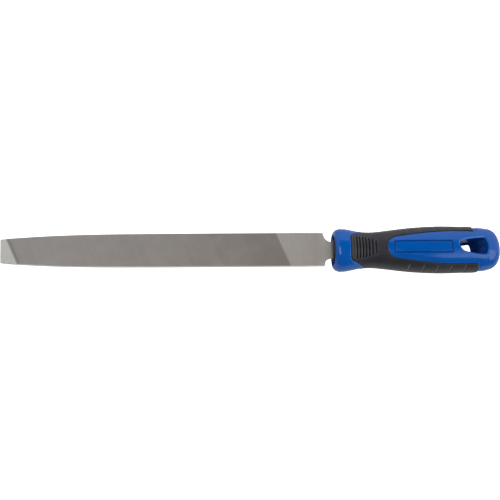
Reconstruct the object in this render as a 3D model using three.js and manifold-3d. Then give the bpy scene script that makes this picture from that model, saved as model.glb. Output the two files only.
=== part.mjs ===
// Flat hand file, 250 mm blade, in a two-component handle.
// Millimetres. +X runs from the blade's tip to the handle's butt, +Z out of a broad face,
// and the narrow sides face +Y and -Y.
// The origin is the centre of the whole tool's bounding box.
import * as THREE from "three";
import { mergeVertices } from "three/addons/utils/BufferGeometryUtils.js";
import Module from "manifold-3d";

const wasm = await Module();
wasm.setup();

const { clamp, degToRad, smoothstep } = THREE.MathUtils;

const GAP = 0.3; // clearance between neighbouring pieces
const REACH = 40; // cutters run this far from the X axis, well clear of the tool

// ---------------------------------------------------------------- blade and tang dimensions
const BLADE_Y = 0.7; // the blade sits this far off the handle's centre line
const BLADE_HALF_T = 3.0; // half thickness of the parallel part
const TIP_X = -193.87;
const TIP_SKEW = 0.091; // the sheared end runs this much off square, in mm of X for each mm of Y
const SKEW_END_X = -150; // sections are square from here to the tang
const SKEW_FADE = 40; // the skew grows to its full value over this length, towards the tip

// the blade from tip to shoulder: X, half width, half thickness
const BLADE = [
  [TIP_X, 9.3, 2.25],
  [-190.5, 9.7, 2.32],
  [-180, 10.35, 2.5],
  [-165, 11.25, 2.68],
  [-149, 11.95, 2.82],
  [-133, 12.4, 2.93],
  [-118, 12.68, BLADE_HALF_T],
  [-102, 12.82, BLADE_HALF_T],
  [-70, 12.94, BLADE_HALF_T],
  [40, 13.0, BLADE_HALF_T],
  [57, 12.86, BLADE_HALF_T],
];

// each side's hollow between shoulder and tang: side in Y, X from, X to
const SHOULDERS = [
  [1, 57.3, 63.5],
  [-1, 57.95, 64.0],
];
const SHOULDER_STATIONS = [57.3, 57.5, 57.95, 58.15, 58.6, 59.2, 60, 61, 62, 63, 64];

const TANG_Y = 0.2; // the tang's own centre line
const TANG_HALF_W = 6.13; // at the shoulders
// the tang's taper: X, half width, half thickness, sideways clearance in the sleeve's slot
const TANG = [
  [70, 5.6, 2.95, 0.35],
  [100, 4.1, 2.6, 0.3],
  [122, 3.0, 2.2, 0.35],
];
const TANG_END_X = 128.0;
const TANG_END_HALF_W = 1.6;
const TANG_END_HALF_T = 1.5;

// ---------------------------------------------------------------- handle dimensions
const HANDLE_X0 = 65.0; // collar's mouth
const HANDLE_X1 = 193.9; // butt
const SECTION_EXPONENT = 2.25; // of the superellipse that is the handle's section
const SECTION_POINTS = 40;
const BUTT_LEAN = 0.5; // the butt's end sits this far to the +Y side
const LEAN_X0 = 170; // the lean eases in between these two
const LEAN_X1 = 190;
const GRIP_T = 2.3; // depth of the pocket for the soft grip
const INNER_X0 = 60; // ends of the body that floors the pocket
const INNER_X1 = 184;
const COLLAR_X = 76.6; // seam between collar and grip on the broad faces
const TONGUE_Y = 8.8; // the collar's side tongues reach in to here
const TONGUE_ROOT = 6; // the tongue's outline runs this far back into the collar
const ARM_X = 174.0; // ends of the grip's two arms
const WINDOW_END_X = 230; // the window's outline closes here, past the butt

// the handle from collar to butt: X, half width, half depth
const HANDLE = [
  [HANDLE_X0, 13.4, 11.3],
  [65.3, 14.7, 12.6],
  [66.2, 15.9, 13.5],
  [68.0, 16.55, 14.15],
  [70.6, 16.8, 14.4],
  [73.7, 16.66, 14.25],
  [76.8, 16.15, 13.75],
  [80.0, 15.5, 13.1],
  [83.0, 14.87, 12.55],
  [86.2, 14.27, 12.2],
  [89.3, 13.98, 12.1],
  [92.5, 13.86, 12.2],
  [95.6, 13.94, 12.45],
  [98.7, 14.16, 12.8],
  [101.8, 14.48, 13.15],
  [105.0, 14.85, 13.4],
  [111.2, 15.64, 13.7],
  [117.5, 16.43, 13.85],
  [123.7, 17.12, 13.93],
  [130.0, 17.62, 13.95],
  [136.2, 18.0, 13.95],
  [142.5, 18.25, 13.9],
  [148.7, 18.38, 13.8],
  [155.0, 18.28, 13.75],
  [161.2, 18.07, 13.72],
  [167.5, 17.8, 13.65],
  [173.7, 17.4, 13.45],
  [179.5, 16.85, 13.0],
  [182.6, 16.4, 12.55],
  [185.6, 15.65, 11.85],
  [188.3, 14.3, 10.6],
  [190.3, 12.45, 9.05],
  [191.7, 10.3, 7.4],
  [192.8, 7.75, 5.5],
  [193.5, 5.15, 3.6],
  [HANDLE_X1, 2.65, 1.85],
];
const STATIONS = HANDLE.map(([x]) => x);

// +Y half of the seam between the core's window and the grip's arms: X, Y
const SEAM = [
  [104.6, 0], [104.9, 2.6], [105.8, 4.8], [107.3, 6.7], [109.4, 8.0], [114.0, 9.0],
  [119.5, 9.7], [126.8, 10.7], [133.0, 11.5], [140.0, 12.2], [147.0, 12.7], [153.0, 12.95],
  [162.0, 13.1], [168.0, 13.0], [172.7, 12.85], [173.6, 13.3], [ARM_X, 14.2],
];

// +Z half of the seam round the collar's side tongue: X, Z
const TONGUE = [
  [88.0, 0], [87.7, 1.5], [87.1, 3.0], [86.0, 5.0], [84.2, 7.0],
  [81.5, 9.0], [79.6, 10.1], [77.95, 11.1], [77.0, 12.0], [COLLAR_X, 13.2],
];

// the hanging hole's rim on the +Z side, clockwise seen from +Z: X, Y
const HOLE = [
  [158.75, 0.4], [158.0, 2.0], [158.25, 3.2], [159.2, 3.95], [160.9, 4.5], [164.5, 5.3],
  [168.5, 6.0], [173.2, 6.6], [176.2, 6.85], [177.5, 6.65], [178.2, 5.95], [178.65, 4.9],
  [179.1, 3.0], [179.3, 1.0], [179.3, -1.2], [178.95, -3.3], [178.5, -5.0], [177.9, -5.75],
  [176.5, -5.95], [173.3, -5.65], [169.5, -5.0], [166.5, -4.4], [162.9, -3.45],
  [161.0, -2.75], [159.9, -1.95], [159.2, -0.9],
];
const HOLE_INSET = 0.25; // the hole's mean outline lies this far inside that rim

// grooves across the neck on both broad faces: X, half length in Y
const NECK_GROOVES = [
  [78.9, 6.6], [81.3, 8.9], [83.7, 8.6], [86.0, 8.3],
  [88.4, 7.9], [90.8, 7.1], [93.3, 6.2], [95.9, 5.0],
];
const NECK_GROOVE_W = 1.0;
const NECK_GROOVE_DEPTH = 0.8;

// grooves along Z on both narrow sides
const SIDE_GROOVE_X = [121.2, 132.2, 142.9, 153.3, 164.0];
const SIDE_GROOVE_W = 0.9;
const SIDE_GROOVE_DEPTH = 0.6;
const SIDE_GROOVE_HALF_H = 9.6;
const SIDE_GROOVE_Y = 13.9; // they cut only farther out than this

// recessed panel on each broad face
const PANEL_X0 = 109.4;
const PANEL_X1 = 153.4;
const PANEL_HALF_Y = 4.7;
const PANEL_CORNER_R = 1.0;
const PANEL_DEPTH = 0.45;

// ---------------------------------------------------------------- bore and sleeve dimensions
const BORE_R = 8.0;
const BORE_X1 = 136.0;
const BORE_SEGMENTS = 40;
const BORE_OVERCUT = 2; // the cutter starts this far outside the mouth
const MOUTH_R = 9.2; // the mouth's counterbore, for the sleeve's front ring
const MOUTH_X1 = 66.3;

const SLEEVE_R = BORE_R - GAP;
const SLEEVE_X0 = HANDLE_X0 - 0.7; // the front ring stands this much proud of the mouth
const SLEEVE_X1 = 135.4;
const SLEEVE_SEGMENTS = 32;
const SLEEVE_CHAMFER = 1.5; // at the inner end
const RING_R = MOUTH_R - GAP;
const RING_X1 = MOUTH_X1 - GAP;
const RING_CHAMFER = 0.4;
const SLOT_MOUTH_X = [60, 64]; // the slot keeps its full size between these
const SLOT_MOUTH_CLEARANCE = 0.35; // sideways
const SLOT_OVERRUN = 3; // the slot goes on this far past the tang's end

// ---------------------------------------------------------------- solids
function toSolid(geometry) {
  geometry.deleteAttribute("normal");
  geometry.deleteAttribute("uv");
  const merged = mergeVertices(geometry, 1e-4);
  return new wasm.Manifold(
    new wasm.Mesh({
      numProp: 3,
      vertProperties: new Float32Array(merged.attributes.position.array),
      triVerts: new Uint32Array(merged.index.array),
    }),
  );
}

function toGeometry(solid) {
  const mesh = solid.getMesh();
  const geometry = new THREE.BufferGeometry()
    .setAttribute("position", new THREE.BufferAttribute(new Float32Array(mesh.vertProperties), 3))
    .setIndex(new THREE.BufferAttribute(new Uint32Array(mesh.triVerts), 1));
  geometry.computeVertexNormals();
  return geometry;
}

// Skins a row of rings and closes both ends.
// Each ring has the same number of points, running anticlockwise seen from +X.
function loft(rings) {
  const count = rings[0].length;
  const triangles = [];
  for (let i = 0; i + 1 < rings.length; i++) {
    for (let j = 0; j < count; j++) {
      const here = i * count + j;
      const beside = i * count + ((j + 1) % count);
      triangles.push(here, beside, beside + count, here, beside + count, here + count);
    }
  }
  const last = (rings.length - 1) * count;
  for (let j = 1; j + 1 < count; j++) {
    triangles.push(0, j + 1, j);
    triangles.push(last, last + j, last + j + 1);
  }
  const geometry = new THREE.BufferGeometry()
    .setAttribute("position", new THREE.Float32BufferAttribute(rings.flat(2), 3))
    .setIndex(triangles);
  return toSolid(geometry);
}

function extrude(points, depth) {
  const shape = new THREE.Shape(points.map(([x, y]) => new THREE.Vector2(x, y)));
  return new THREE.ExtrudeGeometry(shape, { depth, bevelEnabled: false });
}

// An outline in X and Y, pushed straight through in Z.
function prismZ(points) {
  return toSolid(extrude(points, 2 * REACH).translate(0, 0, -REACH));
}

// An outline in X and Z, pushed straight through in Y.
function prismY(points, y0, y1) {
  const geometry = extrude(points.map(([x, z]) => [x, -z]), y1 - y0);
  return toSolid(geometry.rotateX(-Math.PI / 2).translate(0, y0, 0));
}

function box(x0, x1, y0, y1, z0, z1) {
  const geometry = new THREE.BoxGeometry(x1 - x0, y1 - y0, z1 - z0);
  return toSolid(geometry.translate((x0 + x1) / 2, (y0 + y1) / 2, (z0 + z1) / 2));
}

// A body turned about the X axis from [x, radius] pairs; the first and last lie on the axis.
function turned(profile, segments) {
  const points = profile.map(([x, radius]) => new THREE.Vector2(radius, x));
  return toSolid(new THREE.LatheGeometry(points, segments).rotateZ(-Math.PI / 2));
}

// ---------------------------------------------------------------- curves and outlines
// A smooth curve through one column of a table, read at X. It never overshoots the points.
function reader(rows, column) {
  const xs = rows.map((row) => row[0]);
  const values = rows.map((row) => row[column]);
  const last = rows.length - 1;
  const slopes = [];
  for (let i = 0; i < last; i++) {
    slopes.push((values[i + 1] - values[i]) / (xs[i + 1] - xs[i]));
  }
  const tangents = values.map((_, i) => {
    if (i === 0) return slopes[0];
    if (i === last) return slopes[last - 1];
    const before = slopes[i - 1];
    const after = slopes[i];
    return before * after <= 0 ? 0 : (2 * before * after) / (before + after);
  });
  return (x) => {
    if (x <= xs[0]) return values[0];
    if (x >= xs[last]) return values[last];
    let i = 0;
    while (x > xs[i + 1]) i++;
    const span = xs[i + 1] - xs[i];
    const t = (x - xs[i]) / span;
    return (
      (2 * t ** 3 - 3 * t ** 2 + 1) * values[i] +
      (t ** 3 - 2 * t ** 2 + t) * span * tangents[i] +
      (-2 * t ** 3 + 3 * t ** 2) * values[i + 1] +
      (t ** 3 - t ** 2) * span * tangents[i + 1]
    );
  };
}

// A closed outline with every point moved to the right of its direction of travel.
function movedRight(outline, distance) {
  const count = outline.length;
  return outline.map(([x, y], i) => {
    const before = outline[(i + count - 1) % count];
    const after = outline[(i + 1) % count];
    const dx = after[0] - before[0];
    const dy = after[1] - before[1];
    const length = Math.hypot(dx, dy);
    return [x + (dy / length) * distance, y - (dx / length) * distance];
  });
}

// Closes a half outline that starts on the X axis: straight to endX, across, and back mirrored.
function closedByMirror(half, endX) {
  const end = half.at(-1)[1];
  const mirrored = half.slice(1).reverse().map(([x, side]) => [x, -side]);
  return [...half, [endX, end], [endX, -end], ...mirrored];
}

// ---------------------------------------------------------------- blade
// A rectangular section between two edges in Y.
function edgeRing(x, y0, y1, halfT, skew = 0) {
  return [
    [y0, -halfT],
    [y1, -halfT],
    [y1, halfT],
    [y0, halfT],
  ].map(([y, z]) => [x - skew * (y - BLADE_Y), y, z]);
}

function tangRing(x, halfW, halfT) {
  return edgeRing(x, TANG_Y - halfW, TANG_Y + halfW, halfT);
}

// Each edge follows a quarter ellipse from the blade's edge in to the tang's.
function shoulderRing(x) {
  const bladeHalfW = BLADE.at(-1)[1];
  const [y1, y0] = SHOULDERS.map(([side, x0, x1]) => {
    const u = clamp((x - x0) / (x1 - x0), 0, 1);
    const from = BLADE_Y + side * bladeHalfW;
    const to = TANG_Y + side * TANG_HALF_W;
    return from + (to - from) * Math.sqrt(1 - (1 - u) ** 2);
  });
  return edgeRing(x, y0, y1, BLADE_HALF_T);
}

function blade() {
  const bladeRings = BLADE.map(([x, halfW, halfT]) => {
    const skew = TIP_SKEW * clamp((SKEW_END_X - x) / SKEW_FADE, 0, 1);
    return edgeRing(x, BLADE_Y - halfW, BLADE_Y + halfW, halfT, skew);
  });
  return loft([
    ...bladeRings,
    ...SHOULDER_STATIONS.map(shoulderRing),
    ...TANG.map(([x, halfW, halfT]) => tangRing(x, halfW, halfT)),
    tangRing(TANG_END_X, TANG_END_HALF_W, TANG_END_HALF_T),
  ]);
}

// ---------------------------------------------------------------- handle body
const halfWidth = reader(HANDLE, 1);
const halfDepth = reader(HANDLE, 2);

function handleRing(x, inset) {
  const rounded = (value) => Math.sign(value) * Math.abs(value) ** (2 / SECTION_EXPONENT);
  const lean = BUTT_LEAN * smoothstep(x, LEAN_X0, LEAN_X1);
  return Array.from({ length: SECTION_POINTS }, (_, j) => {
    const angle = (2 * Math.PI * j) / SECTION_POINTS;
    return [
      x,
      lean + (halfWidth(x) - inset) * rounded(Math.cos(angle)),
      (halfDepth(x) - inset) * rounded(Math.sin(angle)),
    ];
  });
}

function handleBody(xs, inset) {
  return loft(xs.map((x) => handleRing(x, inset)));
}

const outer = handleBody(STATIONS, 0);

// The body under the grip.
function innerBody(inset) {
  const between = STATIONS.filter((x) => x > 70 && x < 182);
  return handleBody([INNER_X0, ...between, INNER_X1], inset);
}

// A layer from just outside the handle's surface to this deep under it, for shallow cuts.
function skin(depth) {
  const around = handleBody(STATIONS, -1.5);
  return around.subtract(handleBody(STATIONS.filter((x) => x < 190), depth));
}

// The room the soft grip takes: neck and arms, less the window and the collar's side tongues.
// grow is 0 for the pocket and negative for the grip.
function gripZone(grow) {
  const half = 30; // short of REACH, so that the cutters pass right through
  const window = movedRight(closedByMirror(SEAM, WINDOW_END_X), grow);
  const tongue = movedRight(closedByMirror(TONGUE, COLLAR_X - TONGUE_ROOT), -grow);
  return box(COLLAR_X - grow, ARM_X + grow, -half, half, -half, half)
    .subtract(prismZ(window))
    .subtract(prismY(tongue, TONGUE_Y + grow, REACH))
    .subtract(prismY(tongue, -REACH, -TONGUE_Y - grow));
}

// ---------------------------------------------------------------- handle core
function mouthBore() {
  const startX = HANDLE_X0 - BORE_OVERCUT;
  return turned(
    [
      [startX, 0],
      [startX, MOUTH_R],
      [MOUTH_X1, MOUTH_R],
      [MOUTH_X1, BORE_R],
      [BORE_X1, BORE_R],
      [BORE_X1, 0],
    ],
    BORE_SEGMENTS,
  );
}

// The panel's plan, a rectangle with rounded corners.
function panelOutline() {
  const r = PANEL_CORNER_R;
  const corners = [
    [PANEL_X1 - r, PANEL_HALF_Y - r],
    [PANEL_X0 + r, PANEL_HALF_Y - r],
    [PANEL_X0 + r, -PANEL_HALF_Y + r],
    [PANEL_X1 - r, -PANEL_HALF_Y + r],
  ];
  return corners.flatMap(([x, y], i) =>
    [0, 45, 90].map((degrees) => {
      const angle = degToRad(90 * i + degrees);
      return [x + r * Math.cos(angle), y + r * Math.sin(angle)];
    }),
  );
}

function core() {
  const pocket = gripZone(0).subtract(innerBody(GRIP_T));
  return outer
    .subtract(pocket)
    .subtract(mouthBore())
    .subtract(prismZ(movedRight(HOLE, HOLE_INSET)))
    .subtract(prismZ(panelOutline()).intersect(skin(PANEL_DEPTH)));
}

// ---------------------------------------------------------------- soft grip
function grip() {
  let solid = outer.subtract(innerBody(GRIP_T - GAP)).intersect(gripZone(-GAP));

  const neckSkin = skin(NECK_GROOVE_DEPTH);
  for (const [x, halfY] of NECK_GROOVES) {
    const halfW = NECK_GROOVE_W / 2;
    const bar = box(x - halfW, x + halfW, -halfY, halfY, -REACH, REACH);
    solid = solid.subtract(bar.intersect(neckSkin));
  }

  const sideSkin = skin(SIDE_GROOVE_DEPTH);
  const sides = box(110, 170, SIDE_GROOVE_Y, REACH, -30, 30).add(
    box(110, 170, -REACH, -SIDE_GROOVE_Y, -30, 30),
  );
  for (const x of SIDE_GROOVE_X) {
    const halfW = SIDE_GROOVE_W / 2;
    const halfH = SIDE_GROOVE_HALF_H;
    const bar = box(x - halfW, x + halfW, -REACH, REACH, -halfH, halfH);
    solid = solid.subtract(bar.intersect(sideSkin).intersect(sides));
  }
  return solid;
}

// ---------------------------------------------------------------- tang sleeve
function sleeve() {
  const body = turned(
    [
      [SLEEVE_X0, 0],
      [SLEEVE_X0, RING_R - RING_CHAMFER],
      [SLEEVE_X0 + RING_CHAMFER, RING_R],
      [RING_X1, RING_R],
      [RING_X1, SLEEVE_R],
      [SLEEVE_X1 - SLEEVE_CHAMFER, SLEEVE_R],
      [SLEEVE_X1, SLEEVE_R - SLEEVE_CHAMFER],
      [SLEEVE_X1, 0],
    ],
    SLEEVE_SEGMENTS,
  );
  const slot = loft([
    ...SLOT_MOUTH_X.map((x) =>
      tangRing(x, TANG_HALF_W + SLOT_MOUTH_CLEARANCE, BLADE_HALF_T + GAP),
    ),
    ...TANG.map(([x, halfW, halfT, clearance]) => tangRing(x, halfW + clearance, halfT + GAP)),
    tangRing(TANG_END_X + SLOT_OVERRUN, TANG_END_HALF_W + GAP, TANG_END_HALF_T + GAP),
  ]);
  return body.subtract(slot);
}

// ---------------------------------------------------------------- assembly
const MATERIALS = {
  steel: { color: 0x8f8b87, roughness: 0.42, metalness: 0.9 },
  bluePlastic: { color: 0x0c4fa3, roughness: 0.32, metalness: 0 },
  softGrey: { color: 0x333336, roughness: 0.62, metalness: 0 },
  darkPlastic: { color: 0x222222, roughness: 0.5, metalness: 0 },
};

const root = new THREE.Group();
root.name = "flat_hand_file";

function add(name, solid, material) {
  const mesh = new THREE.Mesh(toGeometry(solid), new THREE.MeshStandardMaterial(material));
  mesh.name = name;
  root.add(mesh);
}

add("file_blade", blade(), MATERIALS.steel);
add("handle_core", core(), MATERIALS.bluePlastic);
add("soft_grip", grip(), MATERIALS.softGrey);
add("tang_socket", sleeve(), MATERIALS.darkPlastic);

export default root;
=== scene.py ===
"""Flat hand file: the looks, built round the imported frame. Metres in Blender; the builders below work in millimetres."""

import math

import bpy
import numpy as np
from mathutils import Matrix, Vector
from mathutils.kdtree import KDTree


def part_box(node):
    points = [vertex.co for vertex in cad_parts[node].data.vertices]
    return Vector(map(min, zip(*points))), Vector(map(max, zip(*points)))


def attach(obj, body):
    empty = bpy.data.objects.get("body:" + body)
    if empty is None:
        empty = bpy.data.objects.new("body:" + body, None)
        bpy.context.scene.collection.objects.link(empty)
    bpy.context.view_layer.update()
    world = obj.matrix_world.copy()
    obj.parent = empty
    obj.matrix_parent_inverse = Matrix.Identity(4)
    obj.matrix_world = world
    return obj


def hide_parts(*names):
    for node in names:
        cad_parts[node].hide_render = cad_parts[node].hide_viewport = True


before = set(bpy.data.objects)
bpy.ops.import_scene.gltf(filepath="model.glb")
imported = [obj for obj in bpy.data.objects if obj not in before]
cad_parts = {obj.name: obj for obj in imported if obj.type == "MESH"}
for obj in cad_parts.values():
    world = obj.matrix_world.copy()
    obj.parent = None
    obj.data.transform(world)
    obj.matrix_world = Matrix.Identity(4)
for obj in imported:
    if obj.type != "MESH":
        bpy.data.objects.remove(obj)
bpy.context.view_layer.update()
MM = 0.001

# ------------------------------------------------------------------ places read off the frame, in mm
core_lo, core_hi = (np.array(v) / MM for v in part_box("handle_core"))
grip_lo, grip_hi = (np.array(v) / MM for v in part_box("soft_grip"))
blade_lo, blade_hi = (np.array(v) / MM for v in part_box("file_blade"))
sleeve_lo, sleeve_hi = (np.array(v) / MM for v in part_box("tang_socket"))
X0 = float(core_lo[0])  # collar mouth
X1 = float(core_hi[0])  # butt
COLLAR_X = float(grip_lo[0]) - 0.3
ARM_X = float(grip_hi[0]) - 0.5
BLADE_Y = float(blade_lo[1] + blade_hi[1]) / 2
BLADE_T = float(blade_hi[2])
TIP_X = float(blade_lo[0]) + 0.84
SHOULDER_X = X0 - 8.0


# ------------------------------------------------------------------ small numeric helpers
def pchip(x, y):
    """A smooth curve through the points that doesn't overshoot."""
    x, y = np.asarray(x, float), np.asarray(y, float)
    h = np.diff(x)
    s = np.diff(y) / h
    m = np.zeros_like(y)
    m[0], m[-1] = s[0], s[-1]
    for i in range(1, len(x) - 1):
        if s[i - 1] * s[i] > 0:
            w1, w2 = 2 * h[i] + h[i - 1], h[i] + 2 * h[i - 1]
            m[i] = (w1 + w2) / (w1 / s[i - 1] + w2 / s[i])

    def read(q):
        q = np.clip(np.asarray(q, float), x[0], x[-1])
        i = np.clip(np.searchsorted(x, q, side="right") - 1, 0, len(x) - 2)
        t = (q - x[i]) / h[i]
        return (
            (2 * t**3 - 3 * t**2 + 1) * y[i]
            + (t**3 - 2 * t**2 + t) * h[i] * m[i]
            + (-2 * t**3 + 3 * t**2) * y[i + 1]
            + (t**3 - t**2) * h[i] * m[i + 1]
        )

    return read


def smooth(a, b, v):
    t = np.clip((v - a) / (b - a), 0, 1)
    return t * t * (3 - 2 * t)


def split_level(P, T, f, level, snap=0.0):
    """Cuts triangles T along the line where f is level. P is parameters (n, k); f is a function of P. Returns P, T, and the mask of points on the line."""
    val = f(P) - level
    if snap:
        val = np.where(np.abs(val) < snap, 0.0, val)
    s = np.sign(val).astype(int)
    a, b = T[:, [0, 1, 2]].ravel(), T[:, [1, 2, 0]].ravel()
    cross = s[a] * s[b] < 0
    lo, hi = np.minimum(a, b), np.maximum(a, b)
    key = lo.astype(np.int64) * len(P) + hi
    uk, inv = np.unique(key[cross], return_inverse=True)
    ua, ub = (uk // len(P)).astype(int), (uk % len(P)).astype(int)
    t = val[ua] / (val[ua] - val[ub])
    Q = P[ua] + (P[ub] - P[ua]) * t[:, None]
    new = -np.ones(len(a), int)
    new[cross] = len(P) + inv
    new = new.reshape(-1, 3)  # new vertex on edge (0,1), (1,2), (2,0)
    n = (new >= 0).sum(1)
    out = [T[n == 0]]
    # one crossed edge: the third corner is on the line
    for k in range(3):
        m = (n == 1) & (new[:, k] >= 0)
        t0, t1, t2 = T[m, k], T[m, (k + 1) % 3], T[m, (k + 2) % 3]
        e = new[m, k]
        out += [np.c_[t0, e, t2], np.c_[e, t1, t2]]
    for k in range(3):  # corner k alone: edges k (k,k+1) and k+2 (k+2,k) are crossed
        m = (n == 2) & (new[:, k] >= 0) & (new[:, (k + 2) % 3] >= 0)
        t0, t1, t2 = T[m, k], T[m, (k + 1) % 3], T[m, (k + 2) % 3]
        e, g = new[m, k], new[m, (k + 2) % 3]
        out += [np.c_[t0, e, g], np.c_[e, t1, g], np.c_[t1, t2, g]]
    P2 = np.vstack([P, Q])
    on = np.zeros(len(P2), bool)
    on[: len(P)] = s == 0
    on[len(P) :] = True
    return P2, np.vstack(out), on


def compact(V, T, *masks):
    used = np.zeros(len(V), bool)
    used[T.ravel()] = True
    new = np.cumsum(used) - 1
    return (V[used], new[T], *[m[used] for m in masks], new, used)


def boundary_edges(T):
    """Directed edges that only one triangle uses."""
    e = np.vstack([T[:, [0, 1]], T[:, [1, 2]], T[:, [2, 0]]])
    n = T.max() + 1
    key = e[:, 0].astype(np.int64) * n + e[:, 1]
    back = e[:, 1].astype(np.int64) * n + e[:, 0]
    return e[~np.isin(key, back)]


def make_object(name, V, T, sharp_deg=None, attrs=None, weld=1e-4):
    """A mesh object from millimetre vertices. Near-coincident vertices are welded and slivers dropped."""
    V = np.asarray(V, float)
    key = np.round(V / weld).astype(np.int64)
    _, first, inv = np.unique(key, axis=0, return_index=True, return_inverse=True)
    inv = inv.reshape(-1)
    T = inv[T]
    T = T[(T[:, 0] != T[:, 1]) & (T[:, 1] != T[:, 2]) & (T[:, 0] != T[:, 2])]
    V = V[first]
    mesh = bpy.data.meshes.new(name)
    mesh.vertices.add(len(V))
    mesh.vertices.foreach_set("co", (V * MM).astype(np.float32).ravel())
    mesh.loops.add(len(T) * 3)
    mesh.loops.foreach_set("vertex_index", T.astype(np.int32).ravel())
    mesh.polygons.add(len(T))
    mesh.polygons.foreach_set("loop_start", np.arange(0, len(T) * 3, 3, dtype=np.int32))
    mesh.update(calc_edges=True)
    mesh.validate(clean_customdata=False)
    for key_, values in (attrs or {}).items():
        at = mesh.attributes.new(key_, "FLOAT", "POINT")
        at.data.foreach_set("value", np.asarray(values, np.float32)[first])
    if sharp_deg is not None:
        mesh.polygons.foreach_set("use_smooth", np.ones(len(mesh.polygons), bool))
        mesh.set_sharp_from_angle(angle=math.radians(sharp_deg))
    mesh.update()
    obj = bpy.data.objects.new(name, mesh)
    bpy.context.scene.collection.objects.link(obj)
    return obj


# ------------------------------------------------------------------ handle surface
_mid = np.array(
    [
        [70.6, 16.8, 14.4],
        [73.7, 16.66, 14.25],
        [76.8, 16.15, 13.75],
        [80.0, 15.5, 13.1],
        [83.0, 14.87, 12.55],
        [86.2, 14.27, 12.2],
        [89.3, 13.98, 12.1],
        [92.5, 13.86, 12.2],
        [95.6, 13.94, 12.45],
        [98.7, 14.16, 12.8],
        [101.8, 14.48, 13.15],
        [105.0, 14.85, 13.4],
        [111.2, 15.64, 13.7],
        [117.5, 16.43, 13.85],
        [123.7, 17.12, 13.93],
        [130.0, 17.62, 13.95],
        [136.2, 18.0, 13.95],
        [142.5, 18.25, 13.9],
        [148.7, 18.38, 13.8],
        [155.0, 18.28, 13.75],
        [161.2, 18.07, 13.72],
        [167.5, 17.8, 13.65],
        [173.7, 17.4, 13.45],
        [180.0, 16.8, 12.95],
    ]
)
_butt = np.array(  # (share of the way from X 180 to the butt, half width, half depth)
    [
        [0.0, 16.8, 12.95],
        [0.186, 16.4, 12.55],
        [0.4, 15.92, 11.85],
        [0.593, 14.66, 10.6],
        [0.7357, 12.75, 9.05],
        [0.836, 10.2, 7.4],
        [0.914, 7.35, 5.5],
        [0.964, 5.15, 3.6],
        [0.9929, 2.35, 1.65],
        [1.0, 0.0, 0.0],
    ]
)
XB = 180.0
_mb, _ma = pchip(_mid[:, 0], _mid[:, 1]), pchip(_mid[:, 0], _mid[:, 2])
_q = np.sqrt(1 - _butt[:, 0] ** 2)
_bb, _ba = pchip(_q[::-1], _butt[::-1, 1]), pchip(_q[::-1], _butt[::-1, 2])
SECTION_N = 2.25


def profile():
    """Dense rows of X, half width and half depth from the mouth's rim to the butt."""
    rows = []
    for t in np.linspace(0, math.pi / 2, 60)[:-1]:
        rows.append(
            [70.6 - (70.6 - X0) * math.cos(t), 13.0 + 3.8 * math.sin(t), 10.9 + 3.5 * math.sin(t)]
        )
    for x in np.arange(70.6, XB, 0.1):
        rows.append([x, float(_mb(x)), float(_ma(x))])
    for t in np.linspace(0, math.pi / 2, 240):
        rows.append([XB + (X1 - XB) * math.sin(t), float(_bb(math.cos(t))), float(_ba(math.cos(t)))])
    return np.array(rows)


PROFILE = profile()
_len = np.r_[0, np.cumsum(np.hypot(np.diff(PROFILE[:, 0]), np.diff(PROFILE[:, 1])))]
S_END = _len[-1]


def x_to_s(x):
    return np.interp(x, PROFILE[:, 0], _len)


def surf(P):
    """Points of the handle's surface at (s, phi): s runs along the profile, phi round the section from +Y towards +Z."""
    s, phi = P[:, 0], P[:, 1]
    x = np.interp(s, _len, PROFILE[:, 0])
    b = np.maximum(np.interp(s, _len, PROFILE[:, 1]), 1e-6)
    a = np.maximum(np.interp(s, _len, PROFILE[:, 2]), 1e-6)
    c, d = np.cos(phi), np.sin(phi)
    r = ((np.abs(c) / b) ** SECTION_N + (np.abs(d) / a) ** SECTION_N) ** (-1 / SECTION_N)
    return np.c_[x, r * c, r * d]


def surf_normal(P):
    e = 0.02
    ps = P.copy()
    ps[:, 0] = np.clip(P[:, 0] + e, 0, S_END - 1e-3)
    pm = P.copy()
    pm[:, 0] = np.clip(P[:, 0] - e, 0, S_END - 1e-3)
    pp, pn = P.copy(), P.copy()
    pp[:, 1] += 0.002
    pn[:, 1] -= 0.002
    n = np.cross(surf(pp) - surf(pn), surf(ps) - surf(pm))
    l = np.linalg.norm(n, axis=1)
    bad = l < 1e-12
    n[bad] = [1, 0, 0]
    l[bad] = 1
    n = n / l[:, None]
    base = surf(P)
    flip = (n[:, 1] * base[:, 1] + n[:, 2] * base[:, 2]) < 0
    n[flip] *= -1
    n[P[:, 0] > S_END - 0.02] = [1, 0, 0]
    return n


def half_grid(s_list, n_phi):
    """A grid over the upper half of the surface, phi 0 to pi. Returns (s, phi) points and triangles facing out."""
    phi = np.linspace(0, math.pi, n_phi + 1)
    S, F = np.meshgrid(s_list, phi, indexing="ij")
    P = np.c_[S.ravel(), F.ravel()]
    n, m = len(s_list), n_phi + 1
    i, j = np.meshgrid(np.arange(n - 1), np.arange(m - 1), indexing="ij")
    a = (i * m + j).ravel()
    b, c, d = a + 1, a + m, a + m + 1
    odd = ((i + j) % 2).ravel().astype(bool)
    T = np.vstack(
        [
            np.c_[a, b, d][~odd],
            np.c_[a, d, c][~odd],
            np.c_[a, b, c][odd],
            np.c_[b, d, c][odd],
        ]
    )
    return P, T


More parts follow.
